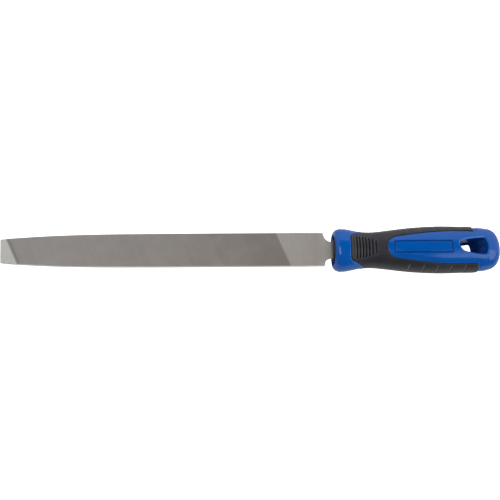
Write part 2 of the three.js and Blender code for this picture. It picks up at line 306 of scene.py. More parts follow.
# ------------------------------------------------------------------ seams
_tongue = pchip(  # seam of the collar: X against |z|
    [0, 1.5, 3.0, 4.0, 5.0, 6.1, 7.0, 7.6, 8.2, 9.0, 9.6, 10.1, 10.6, 11.1, 11.6, 12.0, 12.4, 13.0, 16.0],
    np.array([88.0, 87.7, 87.1, 86.6, 86.0, 85.2, 84.2, 83.5, 82.8, 81.5, 80.5, 79.6, 78.7, 77.95, 77.4, 77.0, 76.75, 76.6, 76.5])
    - 76.6
    + COLLAR_X,
)
SEAM = np.array(
    [
        [104.6, 0],
        [104.9, 2.6],
        [105.8, 4.8],
        [107.3, 6.7],
        [109.4, 8.0],
        [114.0, 9.0],
        [119.5, 9.75],
        [126.8, 10.75],
        [133.0, 11.5],
        [140.0, 12.2],
        [147.0, 12.7],
        [153.0, 12.95],
        [162.0, 13.1],
        [168.0, 13.0],
        [172.7, 12.85],
    ]
)


def phi_of_y(x, y):
    """The section angle where the surface at X x has this y, on the upper side."""
    b = np.interp(x, PROFILE[:, 0], PROFILE[:, 1])
    a = np.interp(x, PROFILE[:, 0], PROFILE[:, 2])
    z = a * np.maximum(1 - np.abs(y / b) ** SECTION_N, 0) ** (1 / SECTION_N)
    return np.arctan2(z, y)


def collar_loop():
    """(s, phi) along the collar's seam, upper half."""
    out = []
    for phi in np.linspace(0, math.pi, 1200):
        x = COLLAR_X + 5
        for _ in range(60):
            z = surf(np.array([[x_to_s(x), phi]]))[0, 2]
            nx = float(_tongue(abs(z)))
            if abs(nx - x) < 1e-4:
                break
            x = 0.5 * x + 0.5 * nx
        out.append([x_to_s(x), phi])
    return np.array(out)


def window_loop():
    """(s, phi) along the seam between the arms and the window and butt, upper half of the +Y side."""
    half = np.vstack([SEAM[1:][::-1] * [1, -1], SEAM])
    t = np.r_[0, np.cumsum(np.hypot(*np.diff(half, axis=0).T))]
    fx, fy = pchip(t, half[:, 0]), pchip(t, half[:, 1])
    q = np.linspace(t[len(SEAM) - 1], t[-1], 1600)
    x, y = fx(q), fy(q)
    pts = [[x_to_s(xx), float(phi_of_y(xx, yy))] for xx, yy in zip(x, y)]
    s_end, phi_end = pts[-1]
    r = ARM_X - 172.7
    rphi = r / 16.0
    for u in np.linspace(0, math.pi / 2, 60)[1:]:
        pts.append([s_end + r * math.sin(u), phi_end - rphi * (1 - math.cos(u))])
    last = pts[-1]
    for k in np.linspace(0, 1, 120)[1:]:
        pts.append([last[0] + 0.0 * k, last[1] * (1 - k)])
    return np.array(pts)


COLLAR_LOOP = collar_loop()
WINDOW_LOOP = window_loop()
_both = np.vstack([WINDOW_LOOP, np.c_[WINDOW_LOOP[:, 0], math.pi - WINDOW_LOOP[:, 1]]])


def tree(points):
    kd = KDTree(len(points))
    for i, p in enumerate(points):
        kd.insert(p, i)
    kd.balance()
    return kd


_full_collar = surf(COLLAR_LOOP)
_full_window = surf(_both)
KD_COLLAR = tree(np.vstack([_full_collar, _full_collar * [1, 1, -1]]))
KD_WINDOW = tree(np.vstack([_full_window, _full_window * [1, 1, -1]]))


def in_grip(P, base):
    """Which points lie in the soft grip's area."""
    x, y, z = base.T
    past = x > _tongue(np.abs(z))
    ys = np.interp(np.abs(P[:, 1] - math.pi / 2), [0, 1], [0, 1])  # placeholder shape only
    order = np.argsort(WINDOW_LOOP[:, 0], kind="stable")
    phi_seam = np.interp(P[:, 0], WINDOW_LOOP[order, 0], WINDOW_LOOP[order, 1])
    fold = np.minimum(P[:, 1], math.pi - P[:, 1])  # 0 on the narrow side, pi/2 on top
    arm = (fold < phi_seam) & (P[:, 0] < WINDOW_LOOP[:, 0].max())
    neck = P[:, 0] < WINDOW_LOOP[0, 0]
    return past & (neck | arm)


def seam_distance(P):
    """Signed distance in mm to the nearest seam: positive in the soft grip's area."""
    base = surf(P)
    inside = in_grip(P, base)
    dc = np.array([KD_COLLAR.find(p)[2] for p in base])
    dw = np.array([KD_WINDOW.find(p)[2] for p in base])
    return np.where(inside, 1, -1) * np.minimum(dc, dw), dc, dw


class Field:
    """Seam distances, kept for points already asked about."""

    def __init__(self):
        self.store = {}

    def __call__(self, P):
        n = len(P)
        have = self.store.get("n", 0)
        if have and have <= n and np.array_equal(self.store["P"], P[:have]):
            if have < n:
                d, dc, dw = seam_distance(P[have:])
                self.store = {
                    "n": n,
                    "P": P.copy(),
                    "v": [np.r_[a, b] for a, b in zip(self.store["v"], (d, dc, dw))],
                }
        else:
            self.store = {"n": n, "P": P.copy(), "v": list(seam_distance(P))}
        return self.store["v"][0]

    def parts(self):
        return self.store["v"]


RIB_X = np.array([78.9, 81.3, 83.7, 86.0, 88.4, 90.8, 93.3, 95.9])
RIB_Y = np.array([8.2, 9.2, 8.8, 8.4, 8.0, 7.3, 6.5, 5.3])
RIB_D = np.array([0.45, 1.2, 1.25, 1.25, 1.25, 1.25, 1.2, 1.1])
SLASH_X = np.array([121.2, 132.2, 142.9, 153.3, 164.0])
RIB_HALF, SLASH_HALF = 0.68, 0.75


def stations(fine=1.0):
    """s positions along the handle, closer together at the rims, the ribs and the seams."""
    edges = [
        (0.0, 7.0, 0.35),
        (7.0, x_to_s(76.0), 0.7),
        (x_to_s(76.0), x_to_s(98.5), 0.5),
        (x_to_s(98.5), x_to_s(103.5), 0.6),
        (x_to_s(103.5), x_to_s(111.0), 0.4),
        (x_to_s(111.0), x_to_s(156.0), 0.5),
        (x_to_s(156.0), x_to_s(182.5), 0.32),
        (x_to_s(182.5), S_END - 0.9, 0.5),
        (S_END - 0.9, S_END, 0.3),
    ]
    s = [0.0]
    for a, b, step in edges:
        n = max(1, int(round((b - a) / (step * fine))))
        s += list(a + (b - a) * np.arange(1, n + 1) / n)
    s = np.array(s)
    extra = []
    for centres, offsets in (
        (RIB_X, np.array([-1.0, -0.86, -0.6, -0.3, 0.0, 0.3, 0.6, 0.86, 1.0]) * RIB_HALF),
        (SLASH_X, np.array([-1.5, -1.05, -0.92, -0.6, 0.0, 0.6, 0.92, 1.05, 1.5]) * SLASH_HALF),
    ):
        for c in centres:
            extra += [float(x_to_s(c + o)) for o in offsets]
    extra = np.array(extra)
    near = np.min(np.abs(s[:, None] - extra[None]), axis=1) < 0.17
    near[[0, -1]] = False
    return np.unique(np.r_[s[~near], extra])


FINE = 1.32
N_PHI = 104


def mirror_close(V, T, on_z0):
    """Adds the mirror image through z = 0. Vertices flagged on_z0 are shared."""
    V = V.copy()
    V[on_z0, 2] = 0.0
    n = len(V)
    new = np.arange(n)
    new[~on_z0] = n + np.arange((~on_z0).sum())
    V2 = np.vstack([V, V[~on_z0] * [1, 1, -1]])
    T2 = np.vstack([T, new[T][:, ::-1]])
    return V2, T2, new


# ------------------------------------------------------------------ soft grip
def grip_height(P, d):
    base = surf(P)
    x, y, z = base.T
    h = np.full(len(P), 0.1)
    painted_highlight = np.zeros(len(P))
    r = 0.55
    e = np.clip(d, 0, r)
    h -= r - np.sqrt(np.maximum(r * r - (r - e) ** 2, 0))
    # ribs on the two broad faces of the neck
    for xr, yr, dr in zip(RIB_X, RIB_Y, RIB_D):
        u = np.abs(x - xr) / RIB_HALF
        v = np.maximum(np.abs(y) - (yr - RIB_HALF), 0) / RIB_HALF
        end = np.sqrt(u**2 + v**2)
        h -= dr * np.where(end < 1, np.sqrt(np.maximum(1 - end**2, 0)), 0) * (np.abs(z) > 3)
        # painted highlight round the ends of the ribs
        painted_highlight = np.maximum(painted_highlight, 0.3 * np.exp(-(((end - 1.15) / 0.25) ** 2)) * (np.abs(z) > 3))
    h += 0.35 * smooth(162.0, 171.0, x)
    # a faint swell under the ribs
    pad = smooth(97.8, 95.5, x) * smooth(76.5, 78.5, x) * smooth(10.5, 8.0, np.abs(y)) * (np.abs(z) > 3)
    h += 0.12 * pad
    # upright grooves on the arms
    for xs in SLASH_X:
        u = (x - xs) / SLASH_HALF
        live = smooth(0.6, 1.1, d) * (np.abs(y) > 9) * smooth(9.9, 8.9, np.abs(z))
        h -= 0.5 * np.where(u < 0.6, smooth(-1.0, 0.6, u), smooth(1.0, 0.6, u)) * live
        # painted highlight: a light line on the lit wall of each groove
        painted_highlight = np.maximum(painted_highlight, np.exp(-(((u + 0.25) / 0.5) ** 2)) * live)
    return h, painted_highlight


def lean(V):
    """The butt's end sits a little to the +Y side, and the arms' ends slant: longer at the handle's
    sides than on its faces, and the -Y arm a little longer than the +Y one."""
    V = V.copy()
    V[:, 1] += 0.3 * smooth(170.0, 190.0, V[:, 0]) + 0.35 * smooth(186.0, 194.0, V[:, 0])
    x, y, z = V[:, 0], V[:, 1], np.abs(V[:, 2])
    along = smooth(164.0, 172.5, x) * smooth(188.0, 176.5, x)
    shift = np.where(y > 0, -1.2, 0.3) + 1.9 * smooth(8.5, 1.0, z)
    V[:, 0] += shift * along * smooth(8.0, 10.5, np.abs(y))
    return V


def build_grip():
    P, T = half_grid(stations(FINE), N_PHI)
    P = P[:]
    field = Field()
    keep_rows = (P[:, 0] > x_to_s(74)) & (P[:, 0] < x_to_s(177))
    T = T[keep_rows[T].all(1)]
    P, T, *_ = compact(P, T)
    CLIP = 0.16
    for level in (CLIP, CLIP + 0.08, CLIP + 0.22, CLIP + 0.42, CLIP + 0.75):
        P, T, on = split_level(P, T, field, level, snap=0.025)
        if level == CLIP:
            rim_flag = on
    d = field(P)
    flag = np.zeros(len(P), bool)
    flag[: len(rim_flag)] = rim_flag
    c = d[T].max(1)
    T = T[(d[T].min(1) > CLIP - 0.03) & (c > CLIP + 0.005)]
    P, T, flag, d, *_ = compact(P, T, flag, d)
    N = surf_normal(P)
    h, painted_highlight = grip_height(P, np.maximum(d - CLIP, 0))
    out = surf(P) + N * h[:, None]
    inn = surf(P) - N * 2.15
    n = len(P)
    V = np.vstack([out, inn])
    z0 = (np.abs(P[:, 1]) < 1e-9) | (np.abs(P[:, 1] - math.pi) < 1e-9)
    rim = boundary_edges(T)
    wall = rim[~(z0[rim[:, 0]] & z0[rim[:, 1]])]
    a, b = wall[:, 0], wall[:, 1]
    TT = np.vstack([T, T[:, ::-1] + n, np.c_[a, a + n, b], np.c_[b, a + n, b + n]])
    V2, T2, _ = mirror_close(V, TT, np.r_[z0, z0])
    # painted shade and dirt: dark in the rib grooves
    shade_mark = np.clip((-h - 0.35) / 0.7, 0, 1) * (d > CLIP + 0.3) * (surf(P)[:, 0] < 110)
    at = {}
    for key, m in (("groove_shade", shade_mark), ("painted_highlight", painted_highlight)):
        m = np.r_[m, np.zeros(len(m))]
        at[key] = np.r_[m, m[~np.r_[z0, z0]]]
    return lean(V2), T2, at


# ------------------------------------------------------------------ handle core
PANEL = (109.4, 153.4, 4.65, 0.7)  # X from, X to, half height, corner radius
# plan view of the hanging hole's rim on the +Z side
HOLE = np.array(
    [
        [158.75, 0.4],
        [158.0, 2.0],
        [158.25, 3.2],
        [159.2, 3.95],
        [160.9, 4.5],
        [164.5, 5.3],
        [168.5, 6.0],
        [173.2, 6.6],
        [176.2, 6.85],
        [177.5, 6.65],
        [178.2, 5.95],
        [178.65, 4.9],
        [179.1, 3.0],
        [179.3, 1.0],
        [179.25, -1.2],
        [178.95, -3.3],
        [178.5, -5.0],
        [177.9, -5.75],
        [176.5, -5.95],
        [173.3, -5.65],
        [169.5, -5.0],
        [166.5, -4.4],
        [162.9, -3.45],
        [161.0, -2.75],
        [159.9, -1.95],
        [159.2, -0.9],
    ]
)
DRAFT = 0.5  # the hole is this much wider at its +Z rim than at its -Z rim, on each side


def hole_polygon(n=260):
    """The rim on the -Z side."""
    m = np.vstack([HOLE[-3:], HOLE, HOLE[:4]])
    t = np.r_[0, np.cumsum(np.hypot(*np.diff(m, axis=0).T))]
    fx, fy = pchip(t, m[:, 0]), pchip(t, m[:, 1])
    q = np.linspace(t[3], t[3 + len(HOLE)], n + 1)[:-1]
    xy = np.c_[fx(q), fy(q)]
    for _ in range(4):  # takes the last kinks out
        xy = 0.25 * np.roll(xy, 1, 0) + 0.5 * xy + 0.25 * np.roll(xy, -1, 0)
    e = np.roll(xy, -1, 0) - np.roll(xy, 1, 0)
    e /= np.linalg.norm(e, axis=1)[:, None]
    xy = xy - DRAFT * np.c_[-e[:, 1], e[:, 0]]
    for _ in range(3):
        xy = 0.25 * np.roll(xy, 1, 0) + 0.5 * xy + 0.25 * np.roll(xy, -1, 0)
    return xy


HOLE_XY = hole_polygon()


def polygon_distance(q, poly):
    """Signed distance from points to a closed outline: negative inside."""
    a, b = poly, np.roll(poly, -1, 0)
    best = np.full(len(q), 1e9)
    inside = np.zeros(len(q), bool)
    for (ax, ay), (bx, by) in zip(a, b):
        ex, ey = bx - ax, by - ay
        t = np.clip(((q[:, 0] - ax) * ex + (q[:, 1] - ay) * ey) / (ex * ex + ey * ey), 0, 1)
        best = np.minimum(best, np.hypot(q[:, 0] - ax - t * ex, q[:, 1] - ay - t * ey))
        cond = (ay > q[:, 1]) != (by > q[:, 1])
        with np.errstate(divide="ignore", invalid="ignore"):
            xi = (bx - ax) * (q[:, 1] - ay) / (by - ay) + ax
        inside ^= cond & (q[:, 0] < xi)
    return np.where(inside, -best, best)


def hole_field(P):
    base = surf(P)
    near = (base[:, 0] > 154) & (base[:, 0] < 184) & (np.abs(base[:, 1]) < 10) & (base[:, 2] > 2)
    out = np.full(len(P), 9.0)
    if near.any():
        out[near] = np.minimum(polygon_distance(base[near, :2], HOLE_XY), 9.0)
    return out


def panel_field(P):
    base = surf(P)
    x0, x1, hy, r = PANEL
    qx = np.abs(base[:, 0] - (x0 + x1) / 2) - (x1 - x0) / 2 + r
    qy = np.abs(base[:, 1]) - hy + r
    d = np.hypot(np.maximum(qx, 0), np.maximum(qy, 0)) + np.minimum(np.maximum(qx, qy), 0) - r
    return np.where(base[:, 2] > 2, d, 9.0)


RIM_R = 1.0  # rounding of the hanging hole's rims


def core_height(P, d, dc, hd, pd):
    h = np.zeros(len(P))
    # rounded edge on to the seam, then the pocket under the grip
    r = 0.5
    e = np.clip(-d, 0, r)
    edge = -(r - np.sqrt(np.maximum(r * r - (r - e) ** 2, 0)))
    h += np.where(d < 0, edge, 0)
    h = np.where(d > 0.001, -0.5 - 1.85 * smooth(0.0, 0.12, d), h)
    # the collar's edge stands a little proud as a soft bead
    out = d < 0
    h += np.where(out, 0.3 * np.exp(-(((-d - 0.85) / 0.5) ** 2)) * (dc < 3.5), 0)
    # the window is crowned: it falls away over the last few millimetres to its seam
    h -= np.where(out & (dc > 3.5), 0.42 * (1 - smooth(0.0, 1.0, np.clip(-d, 0, 4.2) / 4.2)), 0)
    # rims of the hanging hole
    t = np.clip(hd, 0, RIM_R)
    h -= np.where(hd < RIM_R, RIM_R - np.sqrt(np.maximum(RIM_R**2 - (RIM_R - t) ** 2, 0)), 0)
    # recessed panel with a scored outline
    h -= 0.3 * smooth(0.0, -0.2, pd)
    h -= 0.45 * np.exp(-(((pd + 0.4) / 0.28) ** 2))
    return h


def draft_hole(V):
    """Opens the hole towards +Z, as the mould's core pin leaves it. Points round it slide outwards along the surface."""
    V = V.copy()
    near = (V[:, 0] > 150) & (V[:, 0] < 186) & (np.abs(V[:, 1]) < 12)
    q = V[near]
    out = np.maximum(polygon_distance(q[:, :2], HOLE_XY), 0.0)
    e = 0.05
    gx = polygon_distance(q[:, :2] + [e, 0], HOLE_XY) - polygon_distance(q[:, :2] - [e, 0], HOLE_XY)
    gy = polygon_distance(q[:, :2] + [0, e], HOLE_XY) - polygon_distance(q[:, :2] - [0, e], HOLE_XY)
    g = np.c_[gx, gy]
    g /= np.maximum(np.linalg.norm(g, axis=1), 1e-9)[:, None]
    amount = DRAFT * np.clip((q[:, 2] + 12.0) / 24.0, 0, 1.05) * (1 - smooth(0.8, 5.0, out))
    moved = q.copy()
    moved[:, :2] += g * amount[:, None]
    near_hole = 1 - smooth(0.8, 5.0, out)
    up = np.clip(q[:, 2] / 12.0, -1.05, 1.05)
    moved[:, 0] += 0.9 * up * smooth(171.0, 177.0, q[:, 0]) * near_hole  # the butt-side wall leans
    moved[:, 0] += 0.9 * (0.5 + 0.5 * up) * smooth(164.0, 159.5, q[:, 0]) * near_hole

    def z_of(p):
        b = np.interp(p[:, 0], PROFILE[:, 0], PROFILE[:, 1])
        a = np.interp(p[:, 0], PROFILE[:, 0], PROFILE[:, 2])
        return a * np.maximum(1 - np.abs(p[:, 1] / b) ** SECTION_N, 0) ** (1 / SECTION_N)

    for side in (1.0, -1.0):
        skin = (out > 1e-3) & (np.sign(q[:, 2]) == side) & (np.abs(q[:, 2]) > 7)
        moved[skin, 2] += side * (z_of(moved[skin]) - z_of(q[skin]))
    V[near] = moved
    return V


def build_core():
    P, T = half_grid(stations(FINE), N_PHI)
    field = Field()
    for level in (-0.8, -0.45, -0.22, -0.08, 0.0, 0.12):
        P, T, _ = split_level(P, T, field, level, snap=0.02)
    for level in (0.0, -0.14, -0.28, -0.42, -0.6):
        P, T, _ = split_level(P, T, panel_field, level, snap=0.02)
    hole_on = None
    for level in (0.0, 0.05, 0.14, 0.3, 0.55, RIM_R, 1.6):
        P, T, on = split_level(P, T, hole_field, level, snap=0.02)
        if level == 0.0:
            hole_on = on
    d = field(P)
    dc = field.parts()[1]
    hd, pd = hole_field(P), panel_field(P)
    flag = np.zeros(len(P), bool)
    flag[: len(hole_on)] = hole_on
    keep = (hd[T].min(1) > -0.03) & (hd[T].max(1) > 0.005)
    T = T[keep]
    P, T, flag, d, dc, hd, pd, *_ = compact(P, T, flag, d, dc, hd, pd)
    N = surf_normal(P)
    h = core_height(P, d, dc, hd, pd)
    V = surf(P) + N * h[:, None]
    V[flag, :2] = surf(P)[flag][:, :2]
    z0 = (np.abs(P[:, 1]) < 1e-9) | (np.abs(P[:, 1] - math.pi) < 1e-9)
    pole = P[:, 0] > S_END - 1e-6
    V[pole] = [X1, 0, 0]
    z0 = z0 | pole
    # the hole's wall, straight through
    rim = boundary_edges(T)
    hw = rim[(hd[rim[:, 0]] < 0.8) & (hd[rim[:, 1]] < 0.8)]
    levels = 10
    ring = np.unique(hw)
    idx = -np.ones(len(V), int)
    idx[ring] = np.arange(len(ring))
    layers = []
    base_n = len(V)
    top = V[ring]
    for k in range(1, levels + 1):
        q = top.copy()
        q[:, 2] = top[:, 2] * (1 - k / levels)
        layers.append(q)
    V = np.vstack([V, *layers])
    a, b = idx[hw[:, 0]], idx[hw[:, 1]]

    def layer(i, k):
        return np.where(k == 0, ring[i], base_n + (k - 1) * len(ring) + i)

    walls = []
    for k in range(levels):
        a0, b0 = layer(a, k), layer(b, k)
        a1, b1 = layer(a, k + 1), layer(b, k + 1)
        walls += [np.c_[b0, a0, a1], np.c_[b0, a1, b1]]
    z0 = np.r_[z0, np.zeros(levels * len(ring), bool)]
    z0[base_n + (levels - 1) * len(ring) :] = True
    T = np.vstack([T, *walls])
    # the mouth: face, chamfer, bore and its floor, all on the first ring's angles
    first = np.where(P[:, 0] < 1e-9)[0]
    first = first[np.argsort(P[first, 1])]
    phi = P[first, 1]
    outer = V[first]
    rings = []
    r_out = np.hypot(outer[:, 1], outer[:, 2])
    bore = [
        (X0, 1.0, 9.45),
        (X0 + 0.08, 0, 9.3),
        (X0 + 0.22, 0, 9.2),
        (X0 + 0.8, 0, 9.2),
        (X0 + 1.3, 0, 9.2),
        (X0 + 1.3, 0, 8.0),
        (X0 + 3.0, 0, 8.0),
        (X0 + 20.0, 0, 8.0),
        (X0 + 45.0, 0, 8.0),
        (X0 + 70.8, 0, 8.0),
        (X0 + 71.2, 0, 5.0),
        (X0 + 71.2, 0, 0.0),
    ]
    for k in (0.35, 0.7):
        r = r_out * (1 - k) + 9.45 * k
        rings.append(np.c_[np.full(len(phi), X0), r * np.cos(phi), r * np.sin(phi)])
    for x, _, r in bore:
        rings.append(np.c_[np.full(len(phi), x), r * np.cos(phi), r * np.sin(phi)])
    start = len(V)
    m = len(phi)
    V = np.vstack([V, *rings])
    prev = first
    tri = []
    for k in range(len(rings)):
        cur = start + k * m + np.arange(m)
        tri += [
            np.c_[prev[1:], prev[:-1], cur[:-1]],
            np.c_[prev[1:], cur[:-1], cur[1:]],
        ]
        prev = cur
    T = np.vstack([T, *tri])
    edge = np.zeros(m, bool)
    edge[[0, -1]] = True
    z0 = np.r_[z0, np.tile(edge, len(rings))]
    V2, T2, _ = mirror_close(V, T, z0)
    V2 = draft_hole(V2)
    shade_mark, painted_highlight, inside = np.zeros(len(V)), np.zeros(len(V)), np.zeros(len(V))
    k = len(pd)
    # painted shade: a dark line along the panel's outline, and dark in the pocket under the grip
    shade_mark[:k] = 0.85 * np.exp(-(((pd + 0.38) / 0.34) ** 2))
    shade_mark[:k] = np.maximum(shade_mark[:k], np.where(d > 0.0, 1.0, 0.0))
    # painted highlight: light along the hole's upper rim, only on the side that catches the light
    upper = smooth(1.0, 3.2, V[:k, 1]) * smooth(178.5, 176.5, V[:k, 0])
    painted_highlight[:k] = np.exp(-(((hd - 0.8) / 0.35) ** 2)) * (hd < 3) * (0.12 + 0.88 * upper)
    # painted highlight along the edge beside the seam
    painted_highlight[:k] = np.maximum(painted_highlight[:k], 0.35 * np.exp(-(((-d - 0.3) / 0.25) ** 2)) * (d < 0))
    # painted shade: the hole's wall and the bore darken
    inside[k:] = 1.0
    inside[:k] = np.where(hd < 0.35, 1 - np.clip(hd, 0, 0.35) / 0.35, 0)
    at = {key: np.r_[m, m[~z0]] for key, m in (("groove_shade", shade_mark), ("painted_highlight", painted_highlight), ("inside", inside))}
    # painted reflection: a pale band on the hole's far rim
    far = (V2[:, 2] < -9.0) & (at["inside"] > 0.9) & (V2[:, 0] > 150)
    at["painted_highlight"][far] = 0.5 * smooth(-11.6, -12.5, V2[far, 2])
    # the painted shade in the hole deepens towards -Z
    deep = (at["inside"] > 0.9) & (V2[:, 0] > 150)
    at["inside"][deep] *= 0.15 + 0.85 * smooth(11.0, -3.0, V2[deep, 2])
    return lean(V2), T2, at


# ------------------------------------------------------------------ blade
_bw = np.array(
    [
        [-193.5, 9.3, 2.25],
        [-190.5, 9.7, 2.32],
        [-180, 10.4, 2.5],
        [-165, 11.25, 2.68],
        [-149, 11.95, 2.82],
        [-133, 12.38, 2.93],
        [-118, 12.68, 3.0],
        [-102, 12.82, 3.0],
        [-70, 12.95, 3.0],
        [-20, 13.03, 3.0],
        [40, 13.0, 3.0],
        [57, 12.86, 3.0],
    ]
)
_bwf, _btf = pchip(_bw[:, 0], _bw[:, 1]), pchip(_bw[:, 0], _bw[:, 2] * BLADE_T / 3.0)
SHOULDER_FROM = {1: SHOULDER_X + 0.3, -1: SHOULDER_X + 0.95}  # each side's hollow between shoulder and tang
SHOULDER_TO = {1: SHOULDER_X + 6.5, -1: SHOULDER_X + 7.0}
TANG_Y = 0.2  # the tang's own centre line
TANG_END = float(blade_hi[0])


def blade_edge(x, side):
    """How far the blade's edge on one side lies from the blade's centre line."""
    x = np.asarray(x, float)
    u = np.clip((x - SHOULDER_FROM[side]) / (SHOULDER_TO[side] - SHOULDER_FROM[side]), 0, 1)
    off = side * (TANG_Y - BLADE_Y)
    tang = np.interp(x, [63.6, 70, 100, 122, 128], [6.13, 5.6, 4.1, 3.0, 1.7]) + off
    wide = _bwf(x)
    return wide + (tang - wide) * np.sqrt(np.maximum(1 - (1 - u) ** 2, 0))


def blade_half_thick(x):
    x = np.asarray(x, float)
    return np.where(
        x <= SHOULDER_X, _btf(x), np.interp(x, [57, 63.4, 70, 100, 122, 128], [3.0, 3.0, 2.95, 2.6, 2.2, 1.5])
    )


SKEW = 0.091
CH = 0.14  # small bevel round the faces


def tip_x(y, inset=0.0):
    return TIP_X + inset - SKEW * y


# overcut lines: X = U - t1 y, where t1 changes slowly along the blade; undercut lines: X = V + T2 y
U_TIP, U_HEEL = -185.3, 25.95


def t1_of(u):
    return 0.531 + (0.432 - 0.531) * np.clip((u - U_TIP) / (U_HEEL - U_TIP), -0.2, 1.3)


T2 = 0.80
PITCH1, PITCH2 = 0.77, 0.9
DEPTH1, DEPTH2 = 0.19, 0.12


def blade_face(sign):
    """One broad face as (x, y) points with a relief, cut to the outline. sign -1 gives the under face's pattern."""
    rough = 1.0
    p1, p2 = PITCH1 * rough, PITCH2 * rough
    n1 = int(round((U_HEEL - U_TIP) / p1))
    p1 = (U_HEEL - U_TIP) / n1
    u = list(np.arange(TIP_X - 12, U_TIP - 2.9, 1.6)) + [U_TIP - q for q in (2.5, 1.5, 0.7, 0.25)]
    ph = [0.0]
    for k in range(n1):
        u += [U_TIP + k * p1, U_TIP + (k + 0.7) * p1]
    u += [U_HEEL, U_HEEL + 0.5]
    u += list(np.arange(U_HEEL + 1.4, 50.0, 1.6)) + list(np.arange(50.0, 74.0, 0.55)) + list(np.arange(75, TANG_END + 14, 3.0))
    u = np.array(sorted(u))
    v0, v1 = U_TIP - 26, U_HEEL + 26
    v = list(np.arange(TIP_X - 22, v0, 2.0))
    k = 0
    while v0 + k * p2 < v1:
        v += [v0 + k * p2, v0 + (k + 0.68) * p2]
        k += 1
    v += list(np.arange(v1 + 1.0, TANG_END + 22, 1.2))
    v = np.array(sorted(v))
    U, W = np.meshgrid(u, v, indexing="ij")
    t1 = t1_of(U)
    y = (U - W) / (t1 + T2)
    x = U - t1 * y
    P = np.c_[x.ravel(), y.ravel(), U.ravel(), W.ravel()]
    n, m = U.shape
    i, j = np.meshgrid(np.arange(n - 1), np.arange(m - 1), indexing="ij")
    a = (i * m + j).ravel()
    b, c, d = a + 1, a + m, a + m + 1
    ok = np.abs(y) < 13.6
    quad_ok = ok[:-1, :-1] | ok[1:, :-1] | ok[:-1, 1:] | ok[1:, 1:]
    quad_ok = quad_ok.ravel()
    a, b, c, d = a[quad_ok], b[quad_ok], c[quad_ok], d[quad_ok]
    # (U, W) turns the other way round from (x, y): dx dy = -dU dW / (t1 + T2)
    T = np.vstack([np.c_[a, d, c], np.c_[a, b, d]])
    P, T, *_ = compact(P, T)
    area = np.cross(P[T[:, 1], :2] - P[T[:, 0], :2], P[T[:, 2], :2] - P[T[:, 0], :2])
    if area.sum() < 0:
        T = T[:, ::-1]

    def w_of(x_, side):
        return blade_edge(x_, side) - CH

    if sign < 0:
        P[:, 1] *= -1  # which also turns the triangles over, so they face down
    fields = {
        "tip": lambda q: q[:, 0] - tip_x(q[:, 1], CH),
        "end": lambda q: TANG_END - q[:, 0],
        "up": lambda q: w_of(q[:, 0], 1) - q[:, 1],
        "down": lambda q: w_of(q[:, 0], -1) + q[:, 1],
    }
    marks = {}
    for key, f in fields.items():
        P, T, on = split_level(P, T, f, 0.0, snap=0.02)
        for k2 in marks:
            marks[k2] = np.r_[marks[k2], np.zeros(len(P) - len(marks[k2]), bool)]
        marks[key] = on
        val = f(P)
        keep = (val[T].min(1) > -0.03) & (val[T].max(1) > 1e-6) & (np.where(on[T], 0, val[T]).min(1) > -1e-9)
        T = T[keep]
        used = np.zeros(len(P), bool)
        used[T.ravel()] = True
        new = np.cumsum(used) - 1
        P, T = P[used], new[T]
        marks = {k2: m2[used] for k2, m2 in marks.items()}
    # put the rim exactly on the outline, keeping the corners
    y_up = marks["up"]
    P[y_up, 1] = w_of(P[y_up, 0], 1)
    y_dn = marks["down"]
    P[y_dn, 1] = -w_of(P[y_dn, 0], -1)
    tp = marks["tip"]
    P[tp, 0] = tip_x(P[tp, 1], CH)
    P[marks["end"], 0] = TANG_END
    # relief
    Uq, Wq = P[:, 2], P[:, 3]
    f1 = np.mod((Uq - U_TIP) / p1 + 1e-6, 1.0)
    s1 = np.where(f1 < 0.7, f1 / 0.7, 1 - (f1 - 0.7) / 0.3)
    f2 = np.mod((Wq - v0) / p2 + 1e-6, 1.0)
    s2 = np.where(f2 < 0.68, f2 / 0.68, 1 - (f2 - 0.68) / 0.32)
    zone = ((Uq > U_TIP - 1e-6) & (Uq < U_HEEL + 1e-6)).astype(float)
    rs = np.random.default_rng(7 + sign)
    wob = rs.uniform(0.85, 1.1, 4000)
    k1 = np.clip(((Uq - U_TIP) / p1).astype(int), 0, 3999)
    relief = np.maximum(DEPTH1 * s1 * wob[k1], DEPTH2 * s2)
    ramp = smooth(-0.2, 2.4, Uq - U_TIP) * smooth(-0.1, 1.6, U_HEEL - Uq)
    relief = relief * zone * (0.45 + 0.55 * ramp)
    # the first two cuts are shallow, the next is driven in hard
    first = Uq - U_TIP
    relief = relief * np.where(zone > 0, 0.9 + 0.1 * smooth(0.9, 1.5, first), 1.0)
    relief = relief + 0.06 * np.exp(-(((first - 2.1) / 0.45) ** 2)) * zone
    # painted shade: a darker band over the first cuts, passed on with the relief to darken the teeth's valleys
    shade = (0.14 * smooth(2.4, 1.6, first) + 0.05 * np.exp(-(((first - 2.1) / 0.5) ** 2))) * zone
    on_rim = marks["up"] | marks["down"] | marks["tip"] | marks["end"]
    relief = np.where(on_rim, np.clip(relief, 0, 0.06), relief)
    z = (blade_half_thick(P[:, 0]) - relief) * sign
    chains = rim_chains(P, T)
    return np.c_[P[:, :2], z], T, chains, zone, relief + shade


